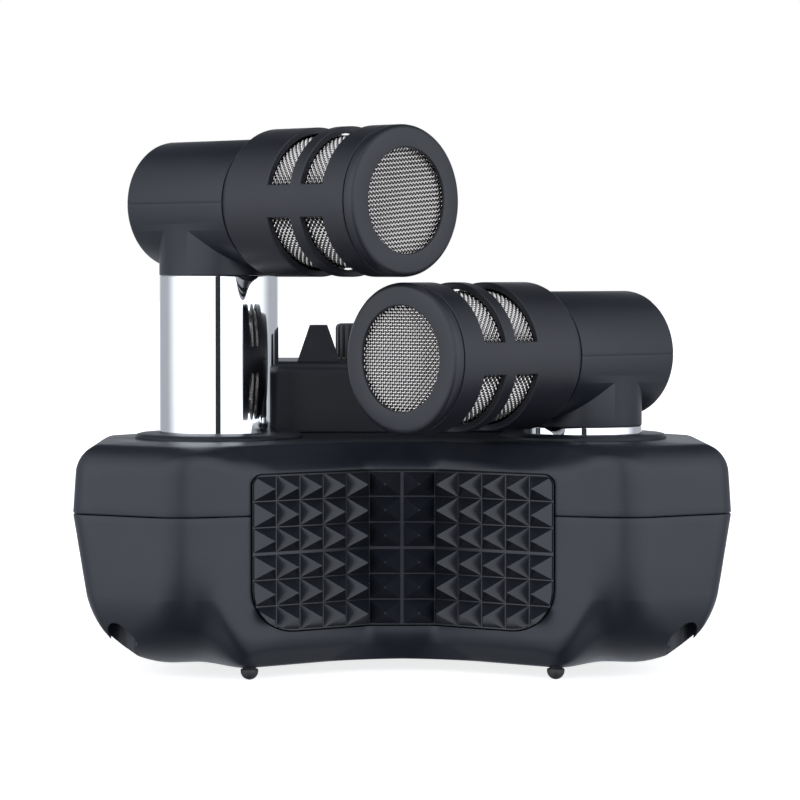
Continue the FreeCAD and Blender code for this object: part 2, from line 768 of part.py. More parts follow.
def barrel(side):
    """Slotted front barrel, its front ring, the two metal meshes and the capsule."""
    sleeve = turned(f"{side}_sleeve", [
        ("3.2", "dim.arm_front + dim.parting"),
        ("dim.arm_radius", "dim.arm_front + dim.parting"),
        ("dim.barrel_radius", "dim.barrel_start"),
        ("dim.barrel_radius", "dim.barrel_end"),
        ("dim.barrel_bore", "dim.barrel_end"),
        ("dim.barrel_bore", "dim.barrel_start + 1.7"),
        ("3.2", "dim.barrel_start + 1.7"),
    ])
    slots = []
    for number, (start, end) in enumerate([("slot_one", "slot_one_end"), ("slot_two", "slot_two_end")]):
        for place, rise in (("top", ("dim.bridge_half", "12")), ("bottom", ("-12", "-dim.bridge_half"))):
            slots.append(block(
                f"{side}_slot_{place}_{number}", rise, ("-12", "12"), (f"dim.{start}", f"dim.{end}"),
            ))
    keep_on_mic(cut(f"{side}_sleeve_cut", sleeve, slots), side, "mic_barrel")
    ring = turned(f"{side}_ring_turned", [
        ("dim.face_radius", "dim.grille_face"),
        ("dim.face_radius", "dim.ring_end"),
        ("dim.barrel_radius", "dim.ring_end"),
        ("dim.barrel_radius", "dim.ring_start"),
        ("dim.barrel_bore", "dim.ring_start"),
        ("dim.barrel_bore", "dim.ring_start - 2.1"),
        ("dim.grille_radius", "dim.ring_start - 2.1"),
        ("dim.grille_radius", "dim.grille_face"),
    ])
    soften_rim(ring, "dim.ring_round", SIZES["barrel_radius"], SIZES["ring_end"])
    keep_on_mic(ring, side, "front_ring")
    grille = turned(f"{side}_grille_disc", [
        ("0", "dim.grille_face - dim.mesh"),
        ("dim.grille_radius", "dim.grille_face - dim.mesh"),
        ("dim.grille_radius", "dim.grille_face"),
        ("0", "dim.grille_face"),
    ])
    keep_on_mic(grille, side, "face_grille")
    screen = tube(
        f"{side}_screen_tube", "dim.screen_radius", "dim.screen_radius - dim.mesh", "0", "0",
        ("dim.barrel_start + 1.8", "dim.ring_start - 2.2"),
    )
    keep_on_mic(screen, side, "slot_screen")
    capsule = turned(f"{side}_capsule_turned", [
        ("0", "dim.barrel_start + 6"),
        ("dim.capsule_radius", "dim.barrel_start + 6"),
        ("dim.capsule_radius", "dim.grille_face - 1.2"),
        ("dim.capsule_radius - 0.8", "dim.grille_face - 0.6"),
        ("0", "dim.grille_face - 0.6"),
    ])
    keep_on_mic(capsule, side, "capsule")


# ---------------------------------------------------------------------------------------------
# Gain knob between two guard fins, on a housing behind the microphones.

def knob_housing():
    """Raised housing on the head's back, with a dished seat and two fins beside the knob."""
    corners = [
        ("dim.housing_half", "dim.housing_front"),
        ("dim.housing_half", "dim.housing_rear"),
        ("-dim.housing_half", "dim.housing_rear"),
        ("-dim.housing_half", "dim.housing_front"),
    ]
    mass = padded("housing_mass", corners, "dim.head_top", "dim.housing_top")
    soften(mass, "4", lambda middle, run: abs(run.z) > 9)
    top = level(SIZES["housing_top"])
    soften(mass, "1.6", top)
    inside = block(
        "housing_inside", ("2.2 - dim.housing_half", "dim.housing_half - 2.2"),
        ("dim.housing_front + 2.2", "dim.housing_rear - 2.2"),
        ("dim.head_top - 1", "dim.housing_top - 2.6"),
    )
    solids = [cut("housing_skin", mass, [inside])]
    for side, sign in SIDES:
        fin = doc.addObject("PartDesign::Body", f"{side}_fin")
        low = "dim.housing_top - 0.5"
        sketch = outline(fin, f"{side}_fin_front", "XZ_Plane", [
            (f"{sign}dim.fin_x - dim.fin_low_half", low),
            (f"{sign}dim.fin_x + dim.fin_low_half", low),
            (f"{sign}dim.fin_x + dim.fin_high_half", "dim.fin_top"),
            (f"{sign}dim.fin_x - dim.fin_high_half", "dim.fin_top"),
        ], "-dim.housing_front - 7.5")
        pad = fin.newObject("PartDesign::Pad", f"{side}_fin_pad")
        pad.Profile = sketch
        pad.Length = 6
        solids.append(fin)
    doc.recompute()
    seat = rod(
        "knob_seat", "dim.knob_radius + 0.5", "0", "dim.knob_y",
        ("dim.housing_top - 0.8", "dim.housing_top + 9"),
    )
    way = rod(
        "shaft_way", "dim.shaft_radius + 0.6", "0", "dim.knob_y", ("dim.head_top - 1", "dim.housing_top"),
    )
    keep(cut("housing_cut", fuse("housing_blank", solids), [seat, way]), "knob_housing")


def gain_knob():
    """Knurled knob with its shaft, and the potentiometer that it turns in."""
    cap = turned("knob_cap", [
        ("0", "dim.housing_top - 0.4"),
        ("dim.knob_radius", "dim.housing_top - 0.4"),
        ("dim.knob_radius", "dim.knob_top"),
        ("0", "dim.knob_top"),
    ])
    soften_rim(cap, "0.7", SIZES["knob_radius"], SIZES["knob_top"])
    bind(cap, {"Placement.Base.y": "dim.knob_y"})
    shaft = rod(
        "knob_shaft", "dim.shaft_radius", "0", "dim.knob_y",
        ("dim.head_board_low + 3.2", "dim.housing_top"),
    )
    grooves = ring_of_grooves(
        "knob", 36, 0.42, "dim.knob_radius", ("dim.housing_top + 0.4", "dim.knob_top + 1"), "0",
        "dim.knob_y",
    )
    line = block(
        "knob_line", ("-0.4", "0.4"), ("dim.knob_y - 8.4", "dim.knob_y - 3.5"),
        ("dim.knob_top - 0.3", "dim.knob_top + 1"),
    )
    keep(cut("knob_cut", fuse("knob_blank", [cap, shaft]), grooves + [line]), "gain_knob")
    case = block(
        "pot_case", ("-8", "8"), ("dim.knob_y - 8", "dim.knob_y + 8"),
        ("dim.head_board_low + dim.board", "24.2"),
    )
    well = rod(
        "pot_well", "dim.shaft_radius + dim.spindle_play", "0", "dim.knob_y",
        ("dim.head_board_low + 3", "25"),
    )
    keep(cut("pot_cut", case, [well]), "gain_potentiometer")


def ring_of_grooves(name, count, radius, rim, z, x, y):
    """Round cutters set evenly on a rim, for the knurl of a knob or a wheel."""
    grooves = []
    for index in range(count):
        angle = index * 360 / count
        grooves.append(rod(
            f"{name}_groove_{index}", str(radius), f"({x}) + ({rim}) * cos({angle})",
            f"({y}) + ({rim}) * sin({angle})", z,
        ))
    return grooves


def head_electronics():
    """The head's circuit board and the connector that joins it to the main unit."""
    board = slab(
        "head_board", ("-23", "23"), ("42", "66"), ("dim.head_board_low", "dim.head_board_low + dim.board"),
    )
    keep(board, "head_circuit_board")
    plug = slab(
        "connector_block", ("-12", "12"), ("dim.head_rear - 5.5", "dim.head_rear + 5.5"), ("17", "24"),
    )
    keep(plug, "head_connector")


# ---------------------------------------------------------------------------------------------
# Main unit: a box with a display and keys above, and batteries in its underside.

UNIT_BOSSES = [("28.4", "77.3"), ("26.2", "143.4")]
UNIT_FRONT = "dim.head_rear"
HOLLOW_HALF = "dim.unit_half - dim.skin"
HOLLOW_FRONT = "dim.head_rear + 2.4"
HOLLOW_REAR = "dim.unit_rear - dim.skin"


def unit_solid(name, low, high, edge, radius):
    """The main unit's outer form between two heights, rounded at its rear corners and one edge."""
    body = slab(name, ("-dim.unit_half", "dim.unit_half"), (UNIT_FRONT, "dim.unit_rear"), (low, high))
    soften(body, "dim.unit_round", lambda middle, run: abs(run.z) > 5 and middle.y > 140)
    at_edge = level(edge)
    soften(body, radius, lambda middle, run: at_edge(middle, run) and middle.y > 73)
    return body


def unit_hollow(name, low, high):
    """The space inside the main unit."""
    body = slab(name, (f"-({HOLLOW_HALF})", HOLLOW_HALF), (HOLLOW_FRONT, HOLLOW_REAR), (low, high))
    soften(body, "dim.unit_round - dim.skin", lambda middle, run: abs(run.z) > 5 and middle.y > 140)
    return body


lower_form = unit_solid("unit_lower_form", "dim.floor_z", "dim.seam_z", FLOOR, "dim.unit_keel")
DOOR_TOP = "dim.floor_z + dim.door_depth"
CARD_Y = ("100", "116")
SPEAKER = ("-24", "128")
JACKS = {"headphone_jack": "96", "line_jack": "108"}
JACK_Z = "12.5"
PORT_Y = ("87.5", "96.5")
PORT_Z = ("9", "12.4")


def unit_lower():
    """Lower shell with the battery bay, the door's slideway, screw wells and side openings."""
    extras = [cut(
        "unit_lower_skin", lower_form,
        [unit_hollow("unit_lower_hollow", "dim.unit_floor", "dim.seam_z + 1")],
    )]
    bay = "16.2"
    rib = "17.6"
    for side, sign in SIDES:
        low, high = (f"-{rib}", f"-{bay}") if sign else (bay, rib)
        extras.append(block(
            f"bay_rib_{side}", (low, high), ("87", "143.6"), ("dim.unit_floor - 1", "dim.board_low"),
        ))
    for place, along in (("front", ("87", "88.4")), ("rear", ("142.2", "143.6"))):
        extras.append(block(f"bay_end_{place}", (f"-{bay}", bay), along, ("dim.unit_floor - 1", "18")))
    for name, across, along in both_sides(UNIT_BOSSES):
        tower = rod(f"unit_boss_{name}", "3.2", across, along, ("dim.floor_z", "dim.seam_z"))
        extras.append(common(f"unit_boss_fit_{name}", [tower, lower_form]))
    extras.append(rod("insert_boss", "5.6", "0", "dim.insert_y", ("dim.floor_z + 1", "14")))
    tools = [
        block("bay_mouth", (f"-{bay}", bay), ("89.5", "141.5"), ("0", "dim.unit_floor + 0.5")),
        block(
            "door_way", ("-dim.door_half", "dim.door_half"), ("dim.door_start", "dim.unit_rear + 1"),
            ("0", DOOR_TOP),
        ),
        block(
            "rail_way", ("-dim.door_half - 1", "dim.door_half + 1"),
            ("dim.door_start", "dim.unit_rear + 1"),
            ("dim.floor_z + 0.8", "dim.floor_z + 1.75"),
        ),
        block(
            "unit_front_hole", ("-12.2", "12.2"), ("dim.head_rear - 1", "dim.head_rear + 3"),
            ("16.8", "dim.seam_z + 1"),
        ),
        rod("insert_hole", "dim.insert_radius + 1.4", "0", "dim.insert_y", ("0", "11.5")),
        block("card_mouth", ("-34", "-30"), CARD_Y, ("15.3", "20.3")),
        log("card_hinge_way", "0.55", "-32.5", ("99.2", "116.8"), "16"),
        block("card_notch", ("-17.8", "-16"), ("101.4", "114.6"), ("17.7", "21")),
        block("port_mouth", ("-34", "-30"), PORT_Y, PORT_Z),
    ]
    for name, across, along in both_sides(UNIT_BOSSES):
        tools.append(rod(f"unit_well_{name}", "dim.screw_head + 0.1", across, along, ("0", "14.5")))
        tools.append(rod(f"unit_pass_{name}", "dim.screw_shank", across, along, ("14", "dim.seam_z + 1")))
    for name, along in JACKS.items():
        tools.append(bar(f"{name}_hole", "2.9", ("30", "34"), along, JACK_Z))
    tools.append(rod("speaker_hole", "0.55", SPEAKER[0], SPEAKER[1], ("0", "dim.unit_floor + 1")))
    for index in range(6):
        angle = 60 * index
        tools.append(rod(
            f"speaker_hole_{index}", "0.55", f"{SPEAKER[0]} + 2.6 * cos({angle})",
            f"{SPEAKER[1]} + 2.6 * sin({angle})",
            ("0", "dim.unit_floor + 1"),
        ))
    for side, sign in SIDES:
        tools.append(rod(
            f"rear_foot_socket_{side}", "0.7 * dim.foot_radius", f"{sign}dim.rear_foot_x",
            "dim.rear_foot_y",
            ("0", "dim.floor_z + 1.2"),
        ))
    keep(cut("unit_lower_cut", fuse("unit_lower_blank", extras), tools), "body_lower_shell")


def battery_door():
    """Sliding battery door, cut from the shell's own form, with a rail along each side."""
    panel = block(
        "door_panel", ("dim.play - dim.door_half", "dim.door_half - dim.play"),
        ("dim.door_start + dim.play", "dim.unit_rear + 1"), ("0", f"{DOOR_TOP} - dim.play"),
    )
    rails = block(
        "door_rails", ("-dim.door_half - 0.8", "dim.door_half + 0.8"),
        ("dim.door_start + dim.play", "dim.unit_rear - 6"), ("dim.floor_z + 0.95", "dim.floor_z + 1.6"),
    )
    panel_with_rails = fuse("door_blank", [panel, rails])
    grips = [
        block(
            f"door_grip_{index}", ("-6", "6"), (f"{92 + 2 * index}", f"{93 + 2 * index}"),
            ("0", "dim.floor_z + 0.5"),
        )
        for index in range(4)
    ]
    keep(cut("door_cut", common("door_form", [panel_with_rails, lower_form]), grips), "battery_door")


BUTTONS = {
    "record_button": ("0", "124", "5.2"),
    "stop_button": ("-14", "124", "3.8"),
    "play_button": ("14", "124", "3.8"),
    "rewind_button": ("-14", "136", "3.8"),
    "forward_button": ("14", "136", "3.8"),
    "menu_button": ("-14", "112.5", "2.6"),
}
WHEEL = ("27.5", "112")
SWITCH_Y = ("108", "114")


def unit_upper():
    """Upper shell with the window's seat, key holes, wheel slot and switch slot."""
    form = unit_solid("unit_upper_form", "dim.seam_z", "dim.unit_top", SIZES["unit_top"], "3")
    ceiling = "dim.unit_top - dim.skin"
    extras = [cut("unit_upper_skin", form, [unit_hollow("unit_upper_hollow", "dim.seam_z - 1", ceiling)])]
    for name, across, along in both_sides(UNIT_BOSSES):
        extras.append(rod(f"unit_top_boss_{name}", "3.2", across, along, ("dim.seam_z", ceiling)))
    tools = [
        block(
            "window_seat", ("-dim.window_half", "dim.window_half"), ("dim.window_start", "dim.window_end"),
            ("dim.unit_top - 1.2", "dim.unit_top + 1"),
        ),
        block(
            "window_opening", ("2.5 - dim.window_half", "dim.window_half - 2.5"),
            ("dim.window_start + 2.5", "dim.window_end - 2.5"), (f"{ceiling} - 1", "dim.unit_top"),
        ),
        block(
            "unit_top_front_hole", ("-12.2", "12.2"), ("dim.head_rear - 1", "dim.head_rear + 3"),
            ("dim.seam_z - 1", "24.2"),
        ),
        block("wheel_slot", ("29", "34"), (f"{WHEEL[1]} - 7", f"{WHEEL[1]} + 7"), ("23.1", "28")),
        rod("wheel_pin_hole", "1.5", WHEEL[0], WHEEL[1], ("dim.seam_z", "29.8")),
        block(
            "switch_slot", ("-34", "-30"), (f"{SWITCH_Y[0]} - 0.2", f"{SWITCH_Y[1]} + 4.2"),
            ("24.4", "27.2"),
        ),
    ]
    for name, (across, along, radius) in BUTTONS.items():
        tools.append(rod(f"{name}_hole", f"{radius} + 0.2", across, along, ("28", "32")))
    for name, across, along in both_sides(UNIT_BOSSES):
        tools.append(rod(
            f"unit_pilot_{name}", "dim.screw_shank", across, along, ("dim.seam_z - 1", f"{ceiling} - 1"),
        ))
    keep(cut("unit_upper_cut", fuse("unit_upper_blank", extras), tools), "body_upper_shell")


def display():
    """The display window in its seat and the module under it."""
    window = slab(
        "window_slab", ("0.1 - dim.window_half", "dim.window_half - 0.1"),
        ("dim.window_start + 0.1", "dim.window_end - 0.1"), ("dim.unit_top - 1.2", "dim.unit_top - 0.1"),
    )
    keep(window, "display_window")
    module = slab(
        "module_slab", ("3 - dim.window_half", "dim.window_half - 3"),
        ("dim.window_start + 3", "dim.window_end - 3"), ("dim.board_low + dim.board", "dim.unit_top - 2.3"),
    )
    keep(module, "display_module")


def keys():
    """The round keys, each with a flange under the shell and a stem over its switch."""
    switches = []
    for name, (across, along, radius) in BUTTONS.items():
        key = turned(f"{name}_turned", [
            ("0", "26.6"),
            ("1.2", "26.6"),
            ("1.2", "27.5"),
            (f"{radius} + 0.9", "27.5"),
            (f"{radius} + 0.9", "28.6"),
            (radius, "28.6"),
            (radius, "dim.unit_top + 1.2"),
            ("0", "dim.unit_top + 1.2"),
        ])
        soften_rim(key, "0.5", float(radius), SIZES["unit_top"] + 1.2)
        keep(key, name)
        bind(key, {"Placement.Base.x": across, "Placement.Base.y": f"{along} - ({MIDDLE_Y})"})
        switches.append(block(
            f"{name}_switch", (f"{across} - 2.2", f"{across} + 2.2"), (f"{along} - 2.2", f"{along} + 2.2"),
            ("dim.board_low + dim.board", "25.6"),
        ))
    keep(fuse("switch_set", switches), "key_switches")


def jog_wheel():
    """Knurled edge wheel on a pin, and the power switch's slider on the other side."""
    rim = rod("wheel_disc", "7.2", WHEEL[0], WHEEL[1], ("23.6", "27.6"))
    bore = rod("wheel_bore", "1.5 + dim.spindle_play", WHEEL[0], WHEEL[1], ("23", "28"))
    grooves = ring_of_grooves("wheel", 32, 0.35, "7.2", ("23", "28"), WHEEL[0], WHEEL[1])
    keep(cut("wheel_cut", rim, [bore] + grooves), "jog_wheel")
    pin = turned("wheel_pin_turned", [("0", "22.8"), ("1.5", "22.8"), ("1.5", "29.8"), ("0", "29.8")])
    keep(pin, "wheel_pin")
    bind(pin, {"Placement.Base.x": WHEEL[0], "Placement.Base.y": f"{WHEEL[1]} - ({MIDDLE_Y})"})


def power_switch():
    """Sliding power switch in the left wall, with a flange inside."""
    thumb = block("switch_thumb", ("-34", "-30.2"), SWITCH_Y, ("24.6", "27"))
    flange = block("switch_flange", ("-30.6", "-29.8"), ("105", "117"), ("23.6", "28.2"))
    grips = [
        block(
            f"switch_grip_{index}", ("-35", "-33.7"), (f"{109 + index}", f"{109.5 + index}"), ("24", "28"),
        )
        for index in range(5)
    ]
    keep(cut("switch_cut", fuse("switch_blank", [thumb, flange]), grips), "power_switch")


def card_slot():
    """Memory card in its holder, behind a small hinged door in the left wall."""
    pivot_x = "-32.5"
    pivot_z = "16"
    panel = block("card_panel", ("-33", "-31.3"), ("100.15", "115.85"), ("15.7", "19.95"))
    pins = log("card_pins", "0.5", pivot_x, ("99.4", "116.6"), pivot_z)
    keep(fuse("card_door_blank", [panel, pins]), "card_door")
    card = slab("card_slab", ("-31", "-16.2"), ("102.5", "113.5"), ("18.6", "19.6"))
    keep(card, "memory_card")
    case = block("holder_case", ("-29.6", "-16.2"), ("101.6", "114.4"), ("17.9", "dim.board_low"))
    slot = block("holder_slot", ("-34", "-15"), ("102.5", "113.5"), ("18.6", "19.6"))
    keep(cut("holder_cut", case, [slot]), "card_holder")


def power():
    """Two cells laid in opposite directions, and their contacts."""
    start = "dim.battery_start"
    end = "dim.battery_start + dim.battery_length"
    cells = {
        "left": ("-dim.battery_x", (start, f"{end} - 1.4"), (f"{end} - 1.4", end)),
        "right": ("dim.battery_x", (f"{start} + 1.4", end), (start, f"{start} + 1.4")),
    }
    springs = []
    for side, (across, case, nub) in cells.items():
        can = log(f"{side}_cell_can", "dim.battery_radius", across, case, "dim.battery_z")
        tip = log(f"{side}_cell_tip", "2.7", across, nub, "dim.battery_z")
        keep(fuse(f"{side}_cell", [can, tip]), f"battery_{side}")
        springs.append(log(f"{side}_contact_front", "2.4", across, ("89", start), "dim.battery_z"))
        springs.append(log(f"{side}_contact_rear", "2.4", across, (end, "141.6"), "dim.battery_z"))
        low, high = ("-15", "-0.6") if side == "left" else ("0.6", "15")
        springs.append(block(f"{side}_plate_front", (low, high), ("88.5", "89"), ("7", "17.5")))
        springs.append(block(f"{side}_plate_rear", (low, high), ("141.6", "142.1"), ("7", "17.5")))
    keep(fuse("contact_set", springs), "battery_contacts")


def unit_electronics():
    """Main board, speaker, jacks, data port and the tripod insert."""
    board = slab(
        "main_board", ("-25", "25"), ("80", "139.8"), ("dim.board_low", "dim.board_low + dim.board"),
    )
    keep(board, "main_circuit_board")
    cone_part = rod(
        "speaker_can", "5.6", SPEAKER[0], SPEAKER[1], ("dim.unit_floor", "dim.unit_floor + 2.2"),
    )
    magnet = rod(
        "speaker_magnet", "3.4", SPEAKER[0], SPEAKER[1], ("dim.unit_floor + 2.2", "dim.unit_floor + 4"),
    )
    keep(fuse("speaker_set", [cone_part, magnet]), "speaker")
    for name, along in JACKS.items():
        case = block(f"{name}_case", ("18.2", "30.7"), (f"{along} - 3", f"{along} + 3"), ("9.5", "15.5"))
        nose = bar(f"{name}_nose", "2.9", ("30.7", "33.2"), along, JACK_Z)
        well = bar(f"{name}_bore", "dim.jack_bore", ("19.4", "34"), along, JACK_Z)
        keep(cut(f"{name}_cut", fuse(f"{name}_blank", [case, nose]), [well]), name)
    shell = block("port_shell", ("-32.9", "-26"), PORT_Y, PORT_Z)
    mouth = block("port_hollow", ("-34", "-26.5"), ("88.1", "95.9"), ("9.5", "11.9"))
    tongue = block("port_tongue", ("-32", "-26.4"), ("89", "95"), ("10.5", "10.95"))
    keep(fuse("port_set", [cut("port_frame", shell, [mouth]), tongue]), "usb_port")
    insert = tube(
        "insert_tube", "dim.insert_radius + 1.4", "dim.insert_radius", "0", "dim.insert_y",
        ("dim.floor_z", "11.5"),
    )
    keep(insert, "tripod_insert")


def feet_and_screws():
    """Four small dome feet on stems, and the screws that close the main unit."""
    feet = []
    spots = {"front": ("dim.foot_x", "dim.foot_y"), "rear": ("dim.rear_foot_x", "dim.rear_foot_y")}
    for place, (across, along) in spots.items():
        for side, sign in SIDES:
            name = f"{place}_{side}_foot"
            dome = doc.addObject("Part::Sphere", f"{name}_dome")
            bind(dome, {
                "Radius": "dim.foot_radius",
                "Placement.Base.x": f"{sign}{across}",
                "Placement.Base.y": along,
                "Placement.Base.z": "dim.foot_radius",
            })
            below = block(
                f"{name}_below", (f"{sign}{across} - 3", f"{sign}{across} + 3"),
                (f"{along} - 3", f"{along} + 3"),
                ("-1", "dim.floor_z"),
            )
            stem = rod(
                f"{name}_stem", "0.7 * dim.foot_radius", f"{sign}{across}", along,
                ("dim.foot_radius", "dim.floor_z + 1.2"),
            )
            feet.append(fuse(name, [common(f"{name}_cap", [dome, below]), stem]))
    keep(fuse("foot_set", feet), "feet")
    closing = [
        screw(f"unit_screw_{name}", across, along, "14.5", "26")
        for name, across, along in both_sides(UNIT_BOSSES)
    ]
    keep(fuse("unit_screw_set", closing), "body_screws")


head_upper()
head_lower()
diffuser_pad()
mic_bracket()
head_fasteners()
for side, sign in SIDES:
    post_and_bushing(side, sign)
    arm(side)
    barrel(side)
knob_housing()
gain_knob()
head_electronics()
unit_lower()
battery_door()
unit_upper()
display()
keys()
jog_wheel()
power_switch()
card_slot()
power()
unit_electronics()
feet_and_screws()
doc.recompute()
for item in doc.Objects:
    if "Invalid" in item.State or "Error" in item.State:
        raise RuntimeError(f"{item.Label} didn't recompute: {item.State}")
for item in nodes:
    if item.Shape.isNull() or not item.Shape.isValid():
        raise RuntimeError(f"{item.Label} has no valid shape")
os.makedirs("parts", exist_ok=True)
for item in nodes:
    item.Shape.exportStep(f"parts/{item.Label}.step")
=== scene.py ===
"""A handheld stereo voice recorder: its looks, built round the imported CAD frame."""

import functools
import math

import bmesh
import bpy
import numpy as np
from mathutils import Matrix, Vector


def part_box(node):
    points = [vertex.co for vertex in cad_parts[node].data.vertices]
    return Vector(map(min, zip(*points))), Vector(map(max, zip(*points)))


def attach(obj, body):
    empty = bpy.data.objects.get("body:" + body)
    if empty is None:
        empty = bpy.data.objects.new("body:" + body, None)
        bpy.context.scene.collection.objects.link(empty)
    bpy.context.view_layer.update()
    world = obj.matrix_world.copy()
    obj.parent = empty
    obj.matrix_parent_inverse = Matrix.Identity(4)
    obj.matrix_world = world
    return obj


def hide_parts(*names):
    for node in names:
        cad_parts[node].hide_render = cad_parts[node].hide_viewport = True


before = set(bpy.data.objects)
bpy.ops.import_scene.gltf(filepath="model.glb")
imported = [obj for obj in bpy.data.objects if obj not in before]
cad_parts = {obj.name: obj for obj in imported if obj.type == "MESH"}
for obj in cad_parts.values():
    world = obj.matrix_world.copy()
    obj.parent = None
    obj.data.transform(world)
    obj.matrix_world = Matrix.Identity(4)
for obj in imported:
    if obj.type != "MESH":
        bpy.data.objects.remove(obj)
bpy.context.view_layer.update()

MM = 0.001
SIDES = ("left", "right")


# ---------------------------------------------------------------------------------------------
# Node helpers. An input is a socket to link or a value to set.

def wire(tree, target, value):
    """Link a socket to target, or set target to a plain value."""
    if isinstance(value, bpy.types.NodeSocket):
        tree.links.new(value, target)
    else:
        target.default_value = value


def node(tree, kind, inputs=None, **settings):
    """Add a node, set its settings, and link or set its inputs."""
    made = tree.nodes.new(kind)
    for key, value in settings.items():
        setattr(made, key, value)
    for key, value in (inputs or {}).items():
        wire(tree, made.inputs[key], value)
    return made


def calc(tree, operation, *values):
    """The result of a Math node."""
    return node(tree, "ShaderNodeMath", dict(enumerate(values)), operation=operation).outputs[0]


def ramp(tree, value, low, high, start=0.0, end=1.0):
    """Smooth rise from start to end as value goes from low to high."""
    inputs = {"Value": value, "From Min": low, "From Max": high, "To Min": start, "To Max": end}
    return node(tree, "ShaderNodeMapRange", inputs, interpolation_type="SMOOTHSTEP").outputs["Result"]


def noise(tree, where, size, detail=2.0):
    """Noise whose features are about size metres across."""
    inputs = {"Vector": where, "Scale": 1 / size, "Detail": detail, "Roughness": 0.55}
    return node(tree, "ShaderNodeTexNoise", inputs).outputs["Fac"]


def blend_colour(tree, share, first, second):
    """Mix two colours by share."""
    mixer = node(tree, "ShaderNodeMix", data_type="RGBA")
    wire(tree, mixer.inputs["Factor"], share)
    wire(tree, mixer.inputs[6], first)
    wire(tree, mixer.inputs[7], second)
    return mixer.outputs[2]


def shade(colour, factor):
    """An RGBA colour made lighter or darker."""
    return (*(channel * factor for channel in colour), 1.0)


def empty_material(name):
    """A node material with only its Principled shader and output."""
    material = bpy.data.materials.new(name)
    material.use_nodes = True
    tree = material.node_tree
    return material, tree, tree.nodes["Principled BSDF"]


def moulded(name, colour, roughness, grain=0.14 * MM, depth=0.012 * MM, tint=0.10):
    """Moulded plastic: a fine spark-eroded grain, and slow changes of tone and gloss."""
    material, tree, surface = empty_material(name)
    where = node(tree, "ShaderNodeTexCoord").outputs["Object"]
    cloud = noise(tree, where, 9 * MM, 3.0)
    speck = noise(tree, where, grain)
    tone = calc(tree, "ADD", calc(tree, "MULTIPLY", cloud, 0.6), calc(tree, "MULTIPLY", speck, 0.4))
    colours = (shade(colour, 1 - tint), shade(colour, 1 + tint))
    wire(tree, surface.inputs["Base Color"], blend_colour(tree, tone, *colours))
    wire(tree, surface.inputs["Roughness"], ramp(tree, cloud, 0.3, 0.7, roughness - 0.03, roughness + 0.04))
    bump = node(tree, "ShaderNodeBump", {"Strength": 0.5, "Distance": depth, "Height": speck})
    wire(tree, surface.inputs["Normal"], bump.outputs["Normal"])
    return material


def metal(name, colour, roughness, brushed=0.0):
    """Plain or brushed metal with faint wipe marks in its gloss."""
    material, tree, surface = empty_material(name)
    surface.inputs["Metallic"].default_value = 1.0
    where = node(tree, "ShaderNodeTexCoord").outputs["Object"]
    marks = noise(tree, where, 3 * MM, 4.0)
    colours = (shade(colour, 0.95), shade(colour, 1.05))
    wire(tree, surface.inputs["Base Color"], blend_colour(tree, marks, *colours))
    wire(tree, surface.inputs["Roughness"], ramp(tree, marks, 0.3, 0.7, roughness * 0.8, roughness * 1.3))
    if brushed:
        stretched = node(tree, "ShaderNodeMapping", {"Vector": where, "Scale": (1.0, 1.0, 0.03)})
        lines = noise(tree, stretched.outputs["Vector"], 0.08 * MM)
        bump = node(tree, "ShaderNodeBump", {"Strength": brushed, "Distance": 0.01 * MM, "Height": lines})
        wire(tree, surface.inputs["Normal"], bump.outputs["Normal"])
    return material


def clear_window():
    """Clear plastic, faintly grey: see-through, with a reflection that grows at a shallow angle."""
    material, tree, surface = empty_material("window_clear")
    tree.nodes.remove(surface)
    gloss = node(tree, "ShaderNodeBsdfGlossy", {"Color": (1, 1, 1, 1), "Roughness": 0.03})
    through = node(tree, "ShaderNodeBsdfTransparent", {"Color": (0.86, 0.87, 0.88, 1)})
    facing = node(tree, "ShaderNodeLayerWeight").outputs["Facing"]
    share = ramp(tree, calc(tree, "POWER", facing, 4.0), 0.0, 1.0, 0.04, 0.9)
    mixed = node(tree, "ShaderNodeMixShader", {0: share, 1: through.outputs[0], 2: gloss.outputs[0]})
    output = tree.nodes["Material Output"]
    wire(tree, output.inputs["Surface"], mixed.outputs[0])
    return material


def lit_display():
    """A lit liquid crystal display: pale green glass, slightly brighter in the middle."""
    middle = (0.44, 0.52, 0.36, 1)
    corner = (0.34, 0.41, 0.28, 1)
    material, tree, surface = empty_material("display_glass")
    where = node(tree, "ShaderNodeTexCoord").outputs["Generated"]
    away = node(tree, "ShaderNodeVectorMath", {0: where, 1: (0.5, 0.5, 0.5)}, operation="DISTANCE")
    fall = ramp(tree, away.outputs["Value"], 0.1, 0.8)
    colour = blend_colour(tree, fall, middle, corner)
    wire(tree, surface.inputs["Base Color"], colour)
    wire(tree, surface.inputs["Emission Color"], colour)
    surface.inputs["Emission Strength"].default_value = 0.6
    surface.inputs["Roughness"].default_value = 0.3
    return material


